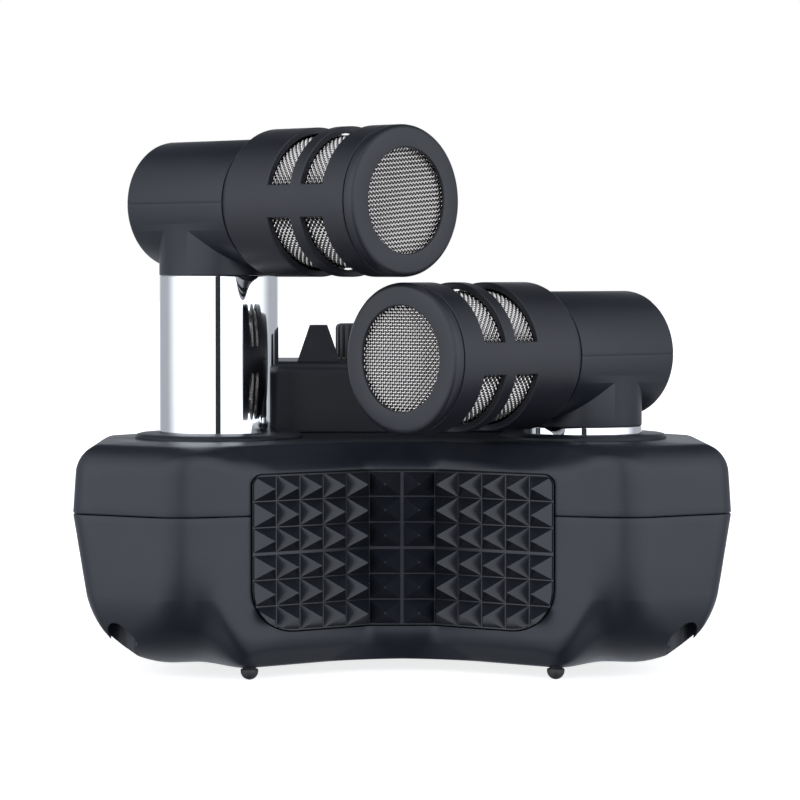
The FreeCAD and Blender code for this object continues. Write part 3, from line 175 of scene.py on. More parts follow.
FINISHES = {
    "shell": moulded("shell_plastic", (0.010, 0.012, 0.018), 0.39),
    "barrel": moulded("barrel_plastic", (0.011, 0.012, 0.017), 0.37),
    "pad": moulded("pad_plastic", (0.011, 0.0125, 0.017), 0.25, depth=0.004 * MM),
    "chrome": metal("chrome_plate", (0.93, 0.935, 0.95), 0.035),
    "mesh": metal("mesh_wire", (0.62, 0.59, 0.56), 0.14),
    "capsule": metal("capsule_case", (0.022, 0.022, 0.024), 0.45),
    "steel": metal("plated_steel", (0.60, 0.60, 0.62), 0.25, brushed=0.3),
    "bushing": moulded("acetal", (0.80, 0.80, 0.77), 0.38),
    "knob": moulded("knob_plastic", (0.020, 0.021, 0.024), 0.36),
    "component": moulded("component_black", (0.022, 0.022, 0.023), 0.33),
    "board": moulded("solder_mask", (0.012, 0.11, 0.045), 0.24, grain=0.9 * MM, depth=0.03 * MM, tint=0.25),
    "window": clear_window(),
    "display": lit_display(),
    "key": moulded("key_plastic", (0.085, 0.088, 0.094), 0.38),
    "record_key": moulded("record_key_plastic", (0.42, 0.018, 0.016), 0.34),
    "cell": metal("cell_sleeve", (0.13, 0.15, 0.21), 0.30),
    "jack": moulded("jack_plastic", (0.013, 0.013, 0.013), 0.35),
    "brass": metal("turned_brass", (0.78, 0.57, 0.27), 0.22, brushed=0.4),
    "foot": moulded("foot_rubber", (0.018, 0.018, 0.019), 0.55, grain=0.08 * MM),
}

NODE_SLOTS = {
    "shell": (
        "head_upper_shell", "head_lower_shell", "knob_housing", "body_lower_shell", "body_upper_shell",
        "battery_door", "card_door",
    ),
    "pad": ("diffuser_pad",),
    "knob": ("gain_knob", "jog_wheel"),
    "steel": (
        "mic_bracket", "head_screws", "bracket_screws", "body_screws", "wheel_pin", "card_holder",
        "usb_port", "battery_contacts",
    ),
    "component": ("gain_potentiometer", "head_connector", "key_switches", "speaker", "memory_card"),
    "board": ("head_circuit_board", "main_circuit_board"),
    "window": ("display_window",),
    "display": ("display_module",),
    "key": ("stop_button", "play_button", "rewind_button", "forward_button", "menu_button", "power_switch"),
    "record_key": ("record_button",),
    "cell": ("battery_left", "battery_right"),
    "brass": ("tripod_insert",),
    "jack": ("headphone_jack", "line_jack"),
    "foot": ("feet",),
    "chrome": ("left_post", "right_post"),
    "bushing": ("left_bushing", "right_bushing"),
}
MIC_SLOTS = {
    "shell": ("arm", "arm_cover"),
    "barrel": ("mic_barrel", "front_ring"),
    "mesh": ("face_grille", "slot_screen"),
    "capsule": ("capsule",),
    "steel": ("spindle",),
}


def paint(thing, slot):
    """Give an object its slot's material."""
    thing.data.materials.clear()
    thing.data.materials.append(FINISHES[slot])


def paint_nodes():
    """Give every CAD node its material."""
    for slot, names in NODE_SLOTS.items():
        for name in names:
            paint(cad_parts[name], slot)
    for slot, names in MIC_SLOTS.items():
        for name in names:
            for side in SIDES:
                paint(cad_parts[f"{side}_{name}"], slot)


# ---------------------------------------------------------------------------------------------
# Mesh helpers. Shapes are made in millimetres, in the CAD's design frame: X = 0 on the centre line,
# Y = 0 at the head's front corners, Z = 0 on the table. The row's frame is that one, moved along Y.

OUTWARD = {"left": -1, "right": 1}
POST_X = 25.35
POST_Y = 29.0
AXIS = {"left": 64.2, "right": 43.3}
TOE_IN = math.radians(44)
GROOVE_HALF_ANGLE = 0.012
GROOVE_DEPTH = 0.05


def middle_of(name):
    """The centre of a CAD node's box."""
    low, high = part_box(name)
    return (low + high) / 2


FRONT = middle_of("left_post").y - POST_Y * MM


def at(x, y, z):
    """The placement of a shape's origin at a point of the design frame."""
    return Matrix.Translation((x * MM, y * MM + FRONT, z * MM))


def mic_place(side):
    """A barrel's own frame: Z runs from the post's axis to the grille and X is up."""
    forward = Vector((-OUTWARD[side] * math.sin(TOE_IN), -math.cos(TOE_IN), 0))
    upward = Vector((0, 0, 1))
    turn = Matrix((upward, forward.cross(upward), forward)).transposed().to_4x4()
    return at(OUTWARD[side] * POST_X, POST_Y, AXIS[side]) @ turn


def finish_mesh(shape, name, crease=30):
    """Turn a bmesh into a smooth mesh whose edges over the crease angle, in degrees, stay sharp."""
    bmesh.ops.recalc_face_normals(shape, faces=shape.faces)
    mesh = bpy.data.meshes.new(name)
    shape.to_mesh(mesh)
    shape.free()
    mesh.shade_smooth()
    mesh.set_sharp_from_angle(angle=math.radians(crease))
    return mesh


def add_object(name, data, place):
    """An object for a mesh or a camera, at a placement."""
    thing = bpy.data.objects.new(name, data)
    bpy.context.scene.collection.objects.link(thing)
    thing.matrix_world = place
    return thing


def piece(name, mesh, place, slot, body, *stands_for):
    """A finished piece, brought to metres: painted, riding on its body, and standing for CAD nodes."""
    own = mesh.copy()
    own.name = name
    own.transform(Matrix.Scale(MM, 4))
    own.materials.append(FINISHES[slot])
    thing = add_object(name, own, place)
    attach(thing, body)
    if stands_for:
        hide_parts(*stands_for)
    return thing


def rounded(corners, steps=5):
    """A closed outline in which each (x, y, radius) corner with a radius becomes an arc."""
    points = []
    count = len(corners)
    for index, (x, y, radius) in enumerate(corners):
        here = Vector((x, y))
        if not radius:
            points.append(here)
            continue
        toward = (Vector(corners[index - 1][:2]) - here).normalized()
        away = (Vector(corners[(index + 1) % count][:2]) - here).normalized()
        half = toward.angle(away) / 2
        reach = radius / math.tan(half)
        centre = here + (toward + away).normalized() * (radius / math.sin(half))
        first = here + toward * reach - centre
        last = here + away * reach - centre
        sweep = math.pi - 2 * half
        for step in range(steps + 1):
            angle = sweep * step / steps
            spoke = first * math.sin(sweep - angle) + last * math.sin(angle)
            points.append(centre + spoke / math.sin(sweep))
    return points


def band(shape, first, second):
    """Close the strip between two rings; a ring of one vertex is a pole."""
    count = max(len(first), len(second))
    for index in range(count):
        after = (index + 1) % count
        corners = [first[index % len(first)], first[after % len(first)]]
        corners += [second[after % len(second)], second[index % len(second)]]
        distinct = list(dict.fromkeys(corners))
        if len(distinct) > 2:
            shape.faces.new(distinct)


def lathe(outline, steps, grooves=()):
    """Turn a closed (radius, height) outline about Z; grooves are angles of fine lines along it."""
    turns = {index * 2 * math.pi / steps: 0.0 for index in range(steps)}
    for groove in grooves:
        for aside, depth in ((-GROOVE_HALF_ANGLE, 0.0), (0.0, GROOVE_DEPTH), (GROOVE_HALF_ANGLE, 0.0)):
            turns[(groove + aside) % (2 * math.pi)] = depth
    shape = bmesh.new()
    rings = []
    for radius, height in outline:
        if radius < 1e-6:
            rings.append([shape.verts.new((0, 0, height))])
            continue
        ring = []
        for turn, depth in sorted(turns.items()):
            reach = radius - depth
            ring.append(shape.verts.new((reach * math.cos(turn), reach * math.sin(turn), height)))
        rings.append(ring)
    for index, ring in enumerate(rings):
        following = rings[(index + 1) % len(rings)]
        if len(ring) > 1 or len(following) > 1:
            band(shape, ring, following)
    return finish_mesh(shape, "turned", 32)


def combined(mesh, others, operation):
    """The exact union or difference of a mesh with others; all are in the same frame."""
    base = add_object("base", mesh, Matrix.Identity(4))
    tools = []
    for other in others:
        tool = add_object("tool", other, Matrix.Identity(4))
        modifier = base.modifiers.new("cut", "BOOLEAN")
        modifier.operation = operation
        modifier.solver = "EXACT"
        modifier.object = tool
        tools.append(tool)
    graph = bpy.context.evaluated_depsgraph_get()
    result = bpy.data.meshes.new_from_object(base.evaluated_get(graph))
    for thing in [base, *tools]:
        bpy.data.objects.remove(thing)
    result.shade_smooth()
    result.set_sharp_from_angle(angle=math.radians(30))
    return result


def moved(mesh, matrix):
    """The same mesh, after moving its points."""
    mesh.transform(matrix)
    return mesh


def prism(outline, low, high):
    """A flat outline in X and Y, closed into a solid between two heights."""
    shape = bmesh.new()
    ends = []
    for height in (low, high):
        ends.append([shape.verts.new((x, y, height)) for x, y in outline])
        shape.faces.new(ends[-1])
    band(shape, *ends)
    return finish_mesh(shape, "prism")


def joined(meshes):
    """Several meshes as one, without merging their surfaces."""
    shape = bmesh.new()
    for mesh in meshes:
        shape.from_mesh(mesh)
    return finish_mesh(shape, "joined")


def soften(thing, width, angle=40, segments=2):
    """Bevel an object's edges over an angle in degrees; the width is in millimetres."""
    bevel = thing.modifiers.new("soft edges", "BEVEL")
    bevel.width = width * MM
    bevel.segments = segments
    bevel.angle_limit = math.radians(angle)


# ---------------------------------------------------------------------------------------------
# Woven wire. Each wire of one family passes over and under the wires of the other.

def woven(wrap, extent, pitches, gauge, segments, sides):
    """Plain weave of wires with radius gauge, put in place by wrap(u, v, w).

    Family 0 runs along v and family 1 along u; pitches are how far apart each family's wires lie.
    extent(offset, family) is the half length of the wire at an offset, and its family's half width.
    Each wire has so many segments between crossings, and so many sides.
    """
    points = []
    faces = []
    for family in (0, 1):
        apart, along = pitches[family], pitches[1 - family]
        count = int(extent(0, family)[1] / apart)
        for number in range(-count, count + 1):
            offset = number * apart
            half, _ = extent(offset, family)
            if half < along:
                continue
            cuts = int(half / along * segments)
            start = len(points)
            for cut in range(-cuts, cuts + 1):
                run = cut * along / segments
                bend = math.cos(math.pi * (run / along + number))
                height = gauge * bend * (1 if family == 0 else -1)
                for corner in range(sides):
                    angle = 2 * math.pi * corner / sides
                    side = offset + gauge * math.cos(angle)
                    top = height + gauge * math.sin(angle)
                    points.append(wrap(side, run, top) if family == 0 else wrap(run, side, top))
            for low in range(start, start + 2 * cuts * sides, sides):
                for corner in range(sides):
                    after = (corner + 1) % sides
                    faces.append((low + corner, low + after, low + sides + after, low + sides + corner))
            faces.append(tuple(range(start, start + sides)))
            faces.append(tuple(range(len(points) - sides, len(points))))
    mesh = bpy.data.meshes.new("woven")
    mesh.from_pydata(points, [], faces)
    shape = bmesh.new()
    shape.from_mesh(mesh)
    return finish_mesh(shape, "woven", 50)


# ---------------------------------------------------------------------------------------------
# Microphones

ARM_RADIUS = 8.8
ARM_REAR = 9.7
ARM_FRONT = 10.3
STUB_RADIUS = 8.3
STUB = 9.9
POST_BORE = 6.05
POST_FOOT = 14
BARREL_RADIUS = 10.1
BARREL_BORE = 9.2
BARREL_END = 35.3
BARREL_OUTSIDE = (
    (8.55, ARM_FRONT + 0.15), (8.8, ARM_FRONT + 0.25), (9.75, 11.9), (9.85, 12.1), (9.85, 12.22),
    (BARREL_RADIUS, 12.4), (BARREL_RADIUS, 16.0),
)
BARREL_INSIDE = (
    (3.2, ARM_FRONT + 0.15), (3.2, 11.0), (3.2, 12.0), (3.2, 13.0), (3.2, 14.0), (BARREL_BORE, 14.0),
    (BARREL_BORE, 16.0),
)
SLOTS = ((20.6, 25.0), (27.0, 31.3))
SLOT_STEPS = 44
BRIDGE_STEPS = 6
BRIDGE_HALF = 2.2
GRILLE_FACE = 36.5
FACE_RADIUS = 7.0
RING_END = 37.2


def arm_mesh():
    """The elbow: a short barrel with a parting line on both sides, joined to its round stub."""
    outline = rounded([
        (0, -ARM_REAR, 0),
        (ARM_RADIUS, -ARM_REAR, 0.7),
        (ARM_RADIUS, ARM_FRONT, 0.12),
        (0, ARM_FRONT, 0),
    ])
    barrel = lathe(outline, 128, grooves=(math.pi / 2, 3 * math.pi / 2))
    stub = lathe(rounded([(0, -STUB, 0), (STUB_RADIUS, -STUB, 0.12), (STUB_RADIUS, 0, 0), (0, 0, 0)]), 128)
    moved(stub, Matrix.Rotation(math.pi / 2, 4, "Y"))
    return combined(barrel, [stub], "UNION")


def slot_angles(radius):
    """Pairs of an angle and whether a slot is beside it: over a slot, over a bridge, and again."""
    gap = math.asin(BRIDGE_HALF / radius)
    pairs = []
    for start in (0, math.pi):
        for step in range(SLOT_STEPS + 1):
            angle = start + gap + (math.pi - 2 * gap) * step / SLOT_STEPS
            pairs.append((angle, step < SLOT_STEPS))
        for step in range(1, BRIDGE_STEPS):
            pairs.append((start + math.pi - gap + 2 * gap * step / BRIDGE_STEPS, False))
    return pairs


def barrel_mesh():
    """The slotted front barrel: two slots above and two below, with a bridge on each side."""
    edges = [edge for slot in SLOTS for edge in slot] + [BARREL_END]
    profiles = (
        [*BARREL_OUTSIDE, *((BARREL_RADIUS, edge) for edge in edges)],
        [*BARREL_INSIDE, *((BARREL_BORE, edge) for edge in edges)],
    )
    slot_rows = (len(BARREL_OUTSIDE), len(BARREL_OUTSIDE) + 2)
    is_open = [beside_slot for _, beside_slot in slot_angles(BARREL_RADIUS)]
    shape = bmesh.new()
    skins = []
    for profile in profiles:
        skins.append([])
        for radius, height in profile:
            turns = [angle for angle, _ in slot_angles(radius)]
            places = [(radius * math.sin(turn), radius * math.cos(turn), height) for turn in turns]
            skins[-1].append([shape.verts.new(place) for place in places])
    outside, inside = skins
    for row in range(len(outside) - 1):
        for index, opens in enumerate(is_open):
            after = (index + 1) % len(is_open)
            if row in slot_rows and opens:
                for outer, inner in ((outside[row], inside[row]), (outside[row + 1], inside[row + 1])):
                    shape.faces.new((outer[index], outer[after], inner[after], inner[index]))
                continue
            for skin in skins:
                low, high = skin[row], skin[row + 1]
                shape.faces.new((low[index], low[after], high[after], high[index]))
            if row in slot_rows:
                for edge, beside in ((index, index - 1), (after, after)):
                    if is_open[beside]:
                        ends = (outside[row], outside[row + 1], inside[row + 1], inside[row])
                        shape.faces.new([end[edge] for end in ends])
    band(shape, outside[0], inside[0])
    band(shape, outside[-1], inside[-1])
    return finish_mesh(shape, "barrel")


def ring_mesh():
    """The front ring: a rounded rim with a stepped lip round the grille."""
    outline = rounded([
        (FACE_RADIUS + 0.35, GRILLE_FACE + 0.02, 0),
        (FACE_RADIUS, GRILLE_FACE + 0.25, 0.1),
        (FACE_RADIUS + 0.05, RING_END, 0.22),
        (BARREL_RADIUS, RING_END, 0.8),
        (BARREL_RADIUS, BARREL_END + 0.25, 0.12),
        (BARREL_RADIUS - 0.35, BARREL_END + 0.15, 0),
        (BARREL_RADIUS - 0.45, BARREL_END - 0.2, 0),
        (BARREL_BORE - 0.02, BARREL_END - 0.2, 0),
        (BARREL_BORE - 0.02, BARREL_END - 1.9, 0),
        (8.3, BARREL_END - 1.9, 0),
        (8.3, GRILLE_FACE + 0.02, 0),
    ])
    return lathe(outline, 160)


def face_mesh(slant):
    """The round grille, a flat disc of woven wire whose wires lean by slant."""
    radius = 7.9

    def flat(u, v, w):
        return (
            u * math.cos(slant) - v * math.sin(slant),
            u * math.sin(slant) + v * math.cos(slant),
            GRILLE_FACE - 0.35 + w,
        )

    def extent(offset, _):
        return math.sqrt(max(radius * radius - offset * offset, 0)), radius

    return woven(flat, extent, pitches=(0.41, 0.41), gauge=0.092, segments=5, sides=6)


def screen_mesh():
    """The screen behind the slots, woven wire rolled into a tube."""
    radius = 8.75
    low, high = 19.9, 32.1
    halves = ((high - low) / 2, math.pi * radius)

    def rolled(u, v, w):
        angle = u / radius
        reach = radius + w
        return (reach * math.cos(angle), reach * math.sin(angle), (low + high) / 2 + v)

    def extent(_, family):
        return halves if family == 0 else halves[::-1]

    return woven(rolled, extent, pitches=(0.42, 0.41), gauge=0.095, segments=3, sides=4)


def microphones():
    """Both swivelling microphones, with their posts."""
    arm = arm_mesh()
    barrel = barrel_mesh()
    ring = ring_mesh()
    faces = {"left": face_mesh(math.radians(50)), "right": face_mesh(0.0)}
    screen = screen_mesh()
    for side in SIDES:
        place = mic_place(side)
        body = f"{side}_mic"
        piece(f"{side}_elbow", arm, place, "shell", body, f"{side}_arm", f"{side}_arm_cover")
        sleeve = piece(f"{side}_sleeve", barrel, place, "barrel", body, f"{side}_mic_barrel")
        soften(sleeve, 0.12)
        piece(f"{side}_rim", ring, place, "barrel", body, f"{side}_front_ring")
        piece(f"{side}_face_mesh", faces[side], place, "mesh", body, f"{side}_face_grille")
        piece(f"{side}_slot_mesh", screen, place, "mesh", body, f"{side}_slot_screen")
        top = AXIS[side] - STUB - 0.02
        outline = rounded([
            (POST_BORE, POST_FOOT, 0),
            (STUB_RADIUS, POST_FOOT, 0.2),
            (STUB_RADIUS, top, 0.18),
            (POST_BORE, top, 0),
        ])
        foot = at(OUTWARD[side] * POST_X, POST_Y, 0)
        piece(f"{side}_column", lathe(outline, 160), foot, "chrome", "recorder", f"{side}_post")


# ---------------------------------------------------------------------------------------------
# Head shells. The form is a set of walls, each a signed distance that is positive outside, joined
# with true round edges. Rings of points are found on it along rays from an upright axis inside.
# In plan, each half runs from the notch up its flank to the valley, over the lobe to the corner, and
# back along the wing, the side and the cheek to the waist.

# Heights and plan
FLOOR_Z = 1.5
SEAM_Z = 22.3
HEAD_TOP = 31.8
HEAD_HALF = 44.4
NOTCH = (4.46, 16.1)
VALLEY = (20.1, 3.85)
CORNER_X = 30.3
WING_Y = 9.4
SIDE_REAR = 38.0
WAIST = (34.0, 54.0)
HEAD_REAR = 72.0
# How the walls lean, bulge and turn into the top, the brow, the keel and the chin
UPPER_LEAN = math.radians(4.0)
LOWER_LEAN = math.radians(9.6)
BULGE = 0.0028
BROW = 4.0
BROW_START = 28.6
KEEL = 10.5
CHIN_START = 4.9
EDGE = 0.4
CORNER_ROUND = 2.2
CORNER_SPREAD = 12.0
# The shells' thickness, the rays that find the form, and the screw wells
SKIN = 2.2
RAY_Y = 42.0
RAY_REACH = 70.0
RAYS = 840
HALVINGS = 26
SCREW_WELLS = ((37.6, 11.0), (27.2, 64.0))
# The pad, its recess and its pyramids
PAD_HALF = 20.0
PAD_LOW = 6.7
PAD_HIGH = 27.75
PAD_THICK = 1.3
PAD_BED = 1.34
PAD_TOP_ROUND = 1.3
PAD_LOW_ROUND = 5.6
SPIKE = 2.2
SPIKE_ROWS = 6
SPIKE_COLUMNS = 5
SPIKE_SINK = 0.2
SPIKE_TIP_HALF = 0.1
SPIKE_GAP = 0.07
MIDDLE_GAP = 0.13
CENTRE_GAP = 0.22


def wall(first, last):
    """Distance from an upright wall, whose outside is on the right of the way from first to last."""
    run = np.subtract(last, first) / np.hypot(*np.subtract(last, first))
    return lambda x, y: (x - first[0]) * run[1] - (y - first[1]) * run[0]


def round_join(one, other, radius):
    """The space inside both, with their shared edge rounded."""
    corner = np.hypot(np.maximum(radius + one, 0), np.maximum(radius + other, 0))
    return np.minimum(-radius, np.maximum(one, other)) + corner


def round_merge(one, other, radius):
    """The space inside either, with their shared inner corner rounded."""
    return -round_join(-one, -other, radius)


flank_wall = wall(NOTCH, VALLEY)
lobe_wall = wall(VALLEY, (CORNER_X, 0))
wing_wall = wall((CORNER_X, 0), (HEAD_HALF, WING_Y))
cheek_wall = wall((HEAD_HALF, SIDE_REAR), WAIST)


def back_of_head(x, y, z, lean):
    """Distance from the wings, sides, waist and rear; sides and wings draw in away from the seam."""
    side = (x - HEAD_HALF + math.tan(lean) * np.abs(z - SEAM_Z)) * math.cos(lean)
    wing = wing_wall(x, y) + BULGE * (z - SEAM_Z) ** 2
    form = round_join(round_join(wing, side, 1.6), cheek_wall(x, y), 3.0)
    narrow = round_merge(form, np.maximum(x - WAIST[0], WAIST[1] - y), 1.0)
    return round_join(narrow, y - HEAD_REAR, 0.5)


def front_of_head(x, y):
    """Distance from the lobes and the V-shaped notch between them."""
    notch = round_merge(NOTCH[1] - y, flank_wall(x, y), 0.5)
    return round_join(notch, lobe_wall(x, y), 1.5)


def nearness(x):
    """How near a lobe's corner x lies: 0 at the valley, and smoothly up to 1 before the corner."""
    share = np.clip((x - VALLEY[0]) / (CORNER_X - 2 - VALLEY[0]), 0, 1)
    return share * share * (3 - 2 * share)


def corner_radius(x, z):
    """Radius of the front's corners: full at the lobes' corners, wider low down, small in the notch."""
    full = CORNER_ROUND + 0.3 * np.maximum(CORNER_SPREAD - z, 0)
    return EDGE + (full - EDGE) * nearness(x)


def upper_form(x, y, z):
    """The upper shell's outer form, with a sloped brow that is narrower at the lobes' corners."""
    front = front_of_head(x, y)
    brow = BROW_START + 1.8 * nearness(x)
    front = round_join(front, (front + z - brow) * math.sqrt(0.5), 0.8)
    sides = round_join(back_of_head(x, y, z, UPPER_LEAN), z - HEAD_TOP, BROW)
    return round_join(round_join(sides, front, corner_radius(x, z)), z - HEAD_TOP, EDGE)


def lower_form(x, y, z):
    """The lower shell's outer form: a large keel, and a sloped chin that is higher at the corners."""
    keel = round_join(back_of_head(x, y, z, LOWER_LEAN), FLOOR_Z - z, KEEL)
    front = front_of_head(x, y)
    chin = CHIN_START + 5.0 * nearness(x)
    front = round_join(front, (front + chin - z) * math.sqrt(0.5), 0.8 + 3.0 * nearness(x))
    return round_join(round_join(keel, front, corner_radius(x, z)), FLOOR_Z - z, EDGE)


def loft(form, levels, openings):
    """A closed shell: a ring on the form, moved inwards by inset, for every (height, inset) level.

    The first and last rings are capped. Openings are (x, y, radius) round holes through both caps.
    """
    turns = np.arange(RAYS) * (2 * math.pi / RAYS)
    shape = bmesh.new()
    rings = []
    for height, inset in levels:
        near = np.zeros(RAYS)
        far = np.full(RAYS, RAY_REACH)
        for _ in range(HALVINGS):
            middle = (near + far) / 2
            x = np.abs(middle * np.sin(turns))
            y = RAY_Y + middle * np.cos(turns)
            inside = form(x, y, height) < -inset
            near = np.where(inside, middle, near)
            far = np.where(inside, far, middle)
        places = zip(near * np.sin(turns), RAY_Y + near * np.cos(turns))
        rings.append([shape.verts.new((x, y, height)) for x, y in places])
    for first, second in zip(rings, rings[1:]):
        band(shape, first, second)
    caps = [[ring] for ring in (rings[0], rings[-1])]
    for x, y, radius in openings:
        ends = []
        for cap, (height, _) in zip(caps, (levels[0], levels[-1])):
            circle = []
            for step in range(64):
                angle = 2 * math.pi * step / 64
                place = (x + radius * math.cos(angle), y + radius * math.sin(angle), height)
                circle.append(shape.verts.new(place))
            cap.append(circle)
            ends.append(circle)
        band(shape, *ends)
    for cap in caps:
        edges = []
        for ring in cap:
            for index, point in enumerate(ring):
                pair = (ring[index - 1], point)
                edges.append(shape.edges.get(pair) or shape.edges.new(pair))
        bmesh.ops.triangle_fill(shape, edges=edges, use_beauty=True)
    return finish_mesh(shape, "shell")


def round_levels(start, end, count):
    """Heights on a quarter round, spaced by angle, from the wall's end to the flat's start."""
    heights = []
    for step in range(1, count + 1):
        share = math.sin(math.pi / 2 * step / count)
        heights.append(start + (end - start) * share)
    return heights


def seam_levels(direction):
    """The lip at the seam, from the inner wall out to the full form."""
    profile = ((0.04, SKIN), (0.04, 0.26), (0.07, 0.10), (0.14, 0.03), (0.24, 0.0))
    return [(SEAM_Z + direction * height, inset) for height, inset in profile]


def flank_line(depth):
    """The V-shaped notch in plan, sunk by depth, from the left lobe to the right one."""
    run = (Vector(VALLEY) - Vector(NOTCH)).normalized()
    inward = Vector((-run.y, run.x)) * depth
    far = Vector(NOTCH) + run * 24 + inward
    near = Vector((NOTCH[0] + math.tan(run.angle(Vector((1, 0))) / 2) * depth, NOTCH[1] + depth))
    return [(-far.x, far.y), (-near.x, near.y), (near.x, near.y), (far.x, far.y)]


def pad_outline(gap):
    """The pad's rounded outline seen from the front, with a gap around it."""
    half = PAD_HALF + gap
    return rounded([
        (-half, PAD_LOW - gap, PAD_LOW_ROUND + gap),
        (half, PAD_LOW - gap, PAD_LOW_ROUND + gap),
        (half, PAD_HIGH + gap, PAD_TOP_ROUND + gap),
        (-half, PAD_HIGH + gap, PAD_TOP_ROUND + gap),
    ], 10)


def pad_column(gap):
    """The pad's outline as a column along Y."""
    return moved(prism(pad_outline(gap), -40, 5), Matrix.Rotation(math.pi / 2, 4, "X"))


def pad_bed():
    """What the pad's recess takes out of the shells."""
    back = flank_line(PAD_BED)
    front = [(back[-1][0], -20), (back[0][0], -20)]
    return combined(prism(back + front, 0, 34), [pad_column(0.2)], "INTERSECT")


def collar(x):
    """The low round collar at a post's foot."""
    outline = [
        (8.35, 30.6), (8.35, 32.3), (8.5, 32.4), (10.9, 32.4), (11.4, 32.28), (11.7, 31.95), (11.7, 30.6),
    ]
    return moved(lathe(outline, 128), Matrix.Translation((x, POST_Y, 0)))


def round_bar(x, y, radius, low, high):
    """An upright round bar."""
    outline = [(0, low), (radius, low), (radius, high), (0, high)]
    return moved(lathe(outline, 48), Matrix.Translation((x, y, 0)))


def well_mouth(x, y):
    """A bore that leans forwards out of a front screw well, so that the well opens on the wing."""
    lean = Matrix.Translation((x, y, 13.0)) @ Matrix.Rotation(math.radians(-20), 4, "X")
    return moved(round_bar(0, 0, 2.0, -14.0, 0.0), lean)


def head_shells():
    """The head's upper and lower shells, with the collars, screw wells and the pad's recess."""
    top_in = HEAD_TOP - SKIN
    inner = [(height, SKIN) for height in (top_in - 0.001, top_in - 0.1, top_in - 0.5, top_in - 1.2, 26.0)]
    outer = [(height, 0.0) for height in (23.4, 25.0, 26.6)]
    outer += [(height, 0.0) for height in round_levels(HEAD_TOP - BROW, HEAD_TOP - 0.0008, 20)]
    posts = [(slant * POST_X, POST_Y, 8.7) for slant in (-1, 1)]
    shaft = [(0.0, 58.0, 3.8)]
    upper = loft(upper_form, inner + seam_levels(1) + outer, posts + shaft)
    upper = combined(upper, [collar(-POST_X), collar(POST_X)], "UNION")
    upper = combined(upper, [pad_bed()], "DIFFERENCE")
    piece("upper_shell", upper, at(0, 0, 0), "shell", "recorder", "head_upper_shell")

    floor_in = FLOOR_Z + SKIN
    inner = [(height, SKIN) for height in (floor_in + 0.001, floor_in + 0.1, floor_in + 0.6, 6.0, 9.0, 14.0)]
    outer = [(height, 0.0) for height in (21.2, 18.0, 14.5)]
    outer += [(height, 0.0) for height in round_levels(FLOOR_Z + KEEL, FLOOR_Z + 0.0008, 34)]
    lower = loft(lower_form, inner + seam_levels(-1) + outer, [])
    bosses = [(slant * x, y) for slant in (-1, 1) for x, y in SCREW_WELLS]
    lower = combined(lower, [round_bar(x, y, 2.9, 6.8, 19.0) for x, y in bosses], "UNION")
    wells = [round_bar(x, y, 2.1, -1.0, 14.5) for x, y in bosses]
    front_x, front_y = SCREW_WELLS[0]
    mouths = [well_mouth(x, front_y) for x in (-front_x, front_x)]
    lower = combined(lower, [pad_bed(), *wells, *mouths], "DIFFERENCE")
    piece("lower_shell", lower, at(0, 0, 0), "shell", "recorder", "head_lower_shell")


def spike(start, along, out, width, height):
    """A pyramid on a face: start is its base's lower corner, along and out are unit vectors."""
    shape = bmesh.new()
    levels = []
    tip = (SPIKE, width / 2 - SPIKE_TIP_HALF, height / 2 - SPIKE_TIP_HALF)
    for depth, margin_x, margin_z in ((-SPIKE_SINK, 0, 0), (0, 0, 0), tip):
        ring = []
        for across, up in ((0, 0), (1, 0), (1, 1), (0, 1)):
            run = margin_x + across * (width - 2 * margin_x)
            rise = margin_z + up * (height - 2 * margin_z)
            ring.append(shape.verts.new(start + along * run + out * depth + Vector((0, 0, rise))))
        levels.append(ring)
    shape.faces.new(levels[0])
    shape.faces.new(levels[-1])
    for first, second in zip(levels, levels[1:]):
        band(shape, first, second)
    return finish_mesh(shape, "spike", 20)


def diffuser():
    """The rubber pad: a V-shaped plate with rows of pyramids on its flanks and centre."""
    notch = Vector((*NOTCH, 0))
    run = (Vector((*VALLEY, 0)) - notch).normalized()
    pitch = (PAD_HALF - NOTCH[0]) / run.x / SPIKE_COLUMNS
    row_pitch = (PAD_HIGH - PAD_LOW) / SPIKE_ROWS
    above_middle = SPIKE_ROWS // 2
    spikes = []
    for row in range(SPIKE_ROWS):
        low = PAD_LOW + row * row_pitch + SPIKE_GAP
        height = row_pitch - 2 * SPIKE_GAP
        if row in (above_middle - 1, above_middle):
            height -= MIDDLE_GAP
        if row == above_middle:
            low += MIDDLE_GAP
        for side in (-1, 1):
            along = Vector((side * run.x, run.y, 0))
            out = Vector((side * run.y, -run.x, 0))
            for column in range(SPIKE_COLUMNS):
                start = Vector((side * notch.x, notch.y, low)) + along * (pitch * column + SPIKE_GAP)
                spikes.append(spike(start, along, out, pitch - 2 * SPIKE_GAP, height))
            start = Vector((side * CENTRE_GAP, notch.y, low))
            width = NOTCH[0] - CENTRE_GAP - SPIKE_GAP
            spikes.append(spike(start, Vector((side, 0, 0)), Vector((0, -1, 0)), width, height))
    spikes = combined(joined(spikes), [pad_column(-0.22)], "INTERSECT")
    outline = flank_line(0) + flank_line(PAD_THICK)[::-1]
    plate = combined(prism(outline, 0, 34), [pad_column(0)], "INTERSECT")
    soften(piece("pad_plate", plate, at(0, 0, 0), "pad", "recorder", "diffuser_pad"), 0.28, 60, 3)
    soften(piece("pad_pyramids", spikes, at(0, 0, 0), "pad", "recorder", "diffuser_pad"), 0.09, 25, 2)


# ---------------------------------------------------------------------------------------------
# CAD nodes that keep their own shape get softened edges. Their triangles are merged to flat faces
# first, all in modifiers.

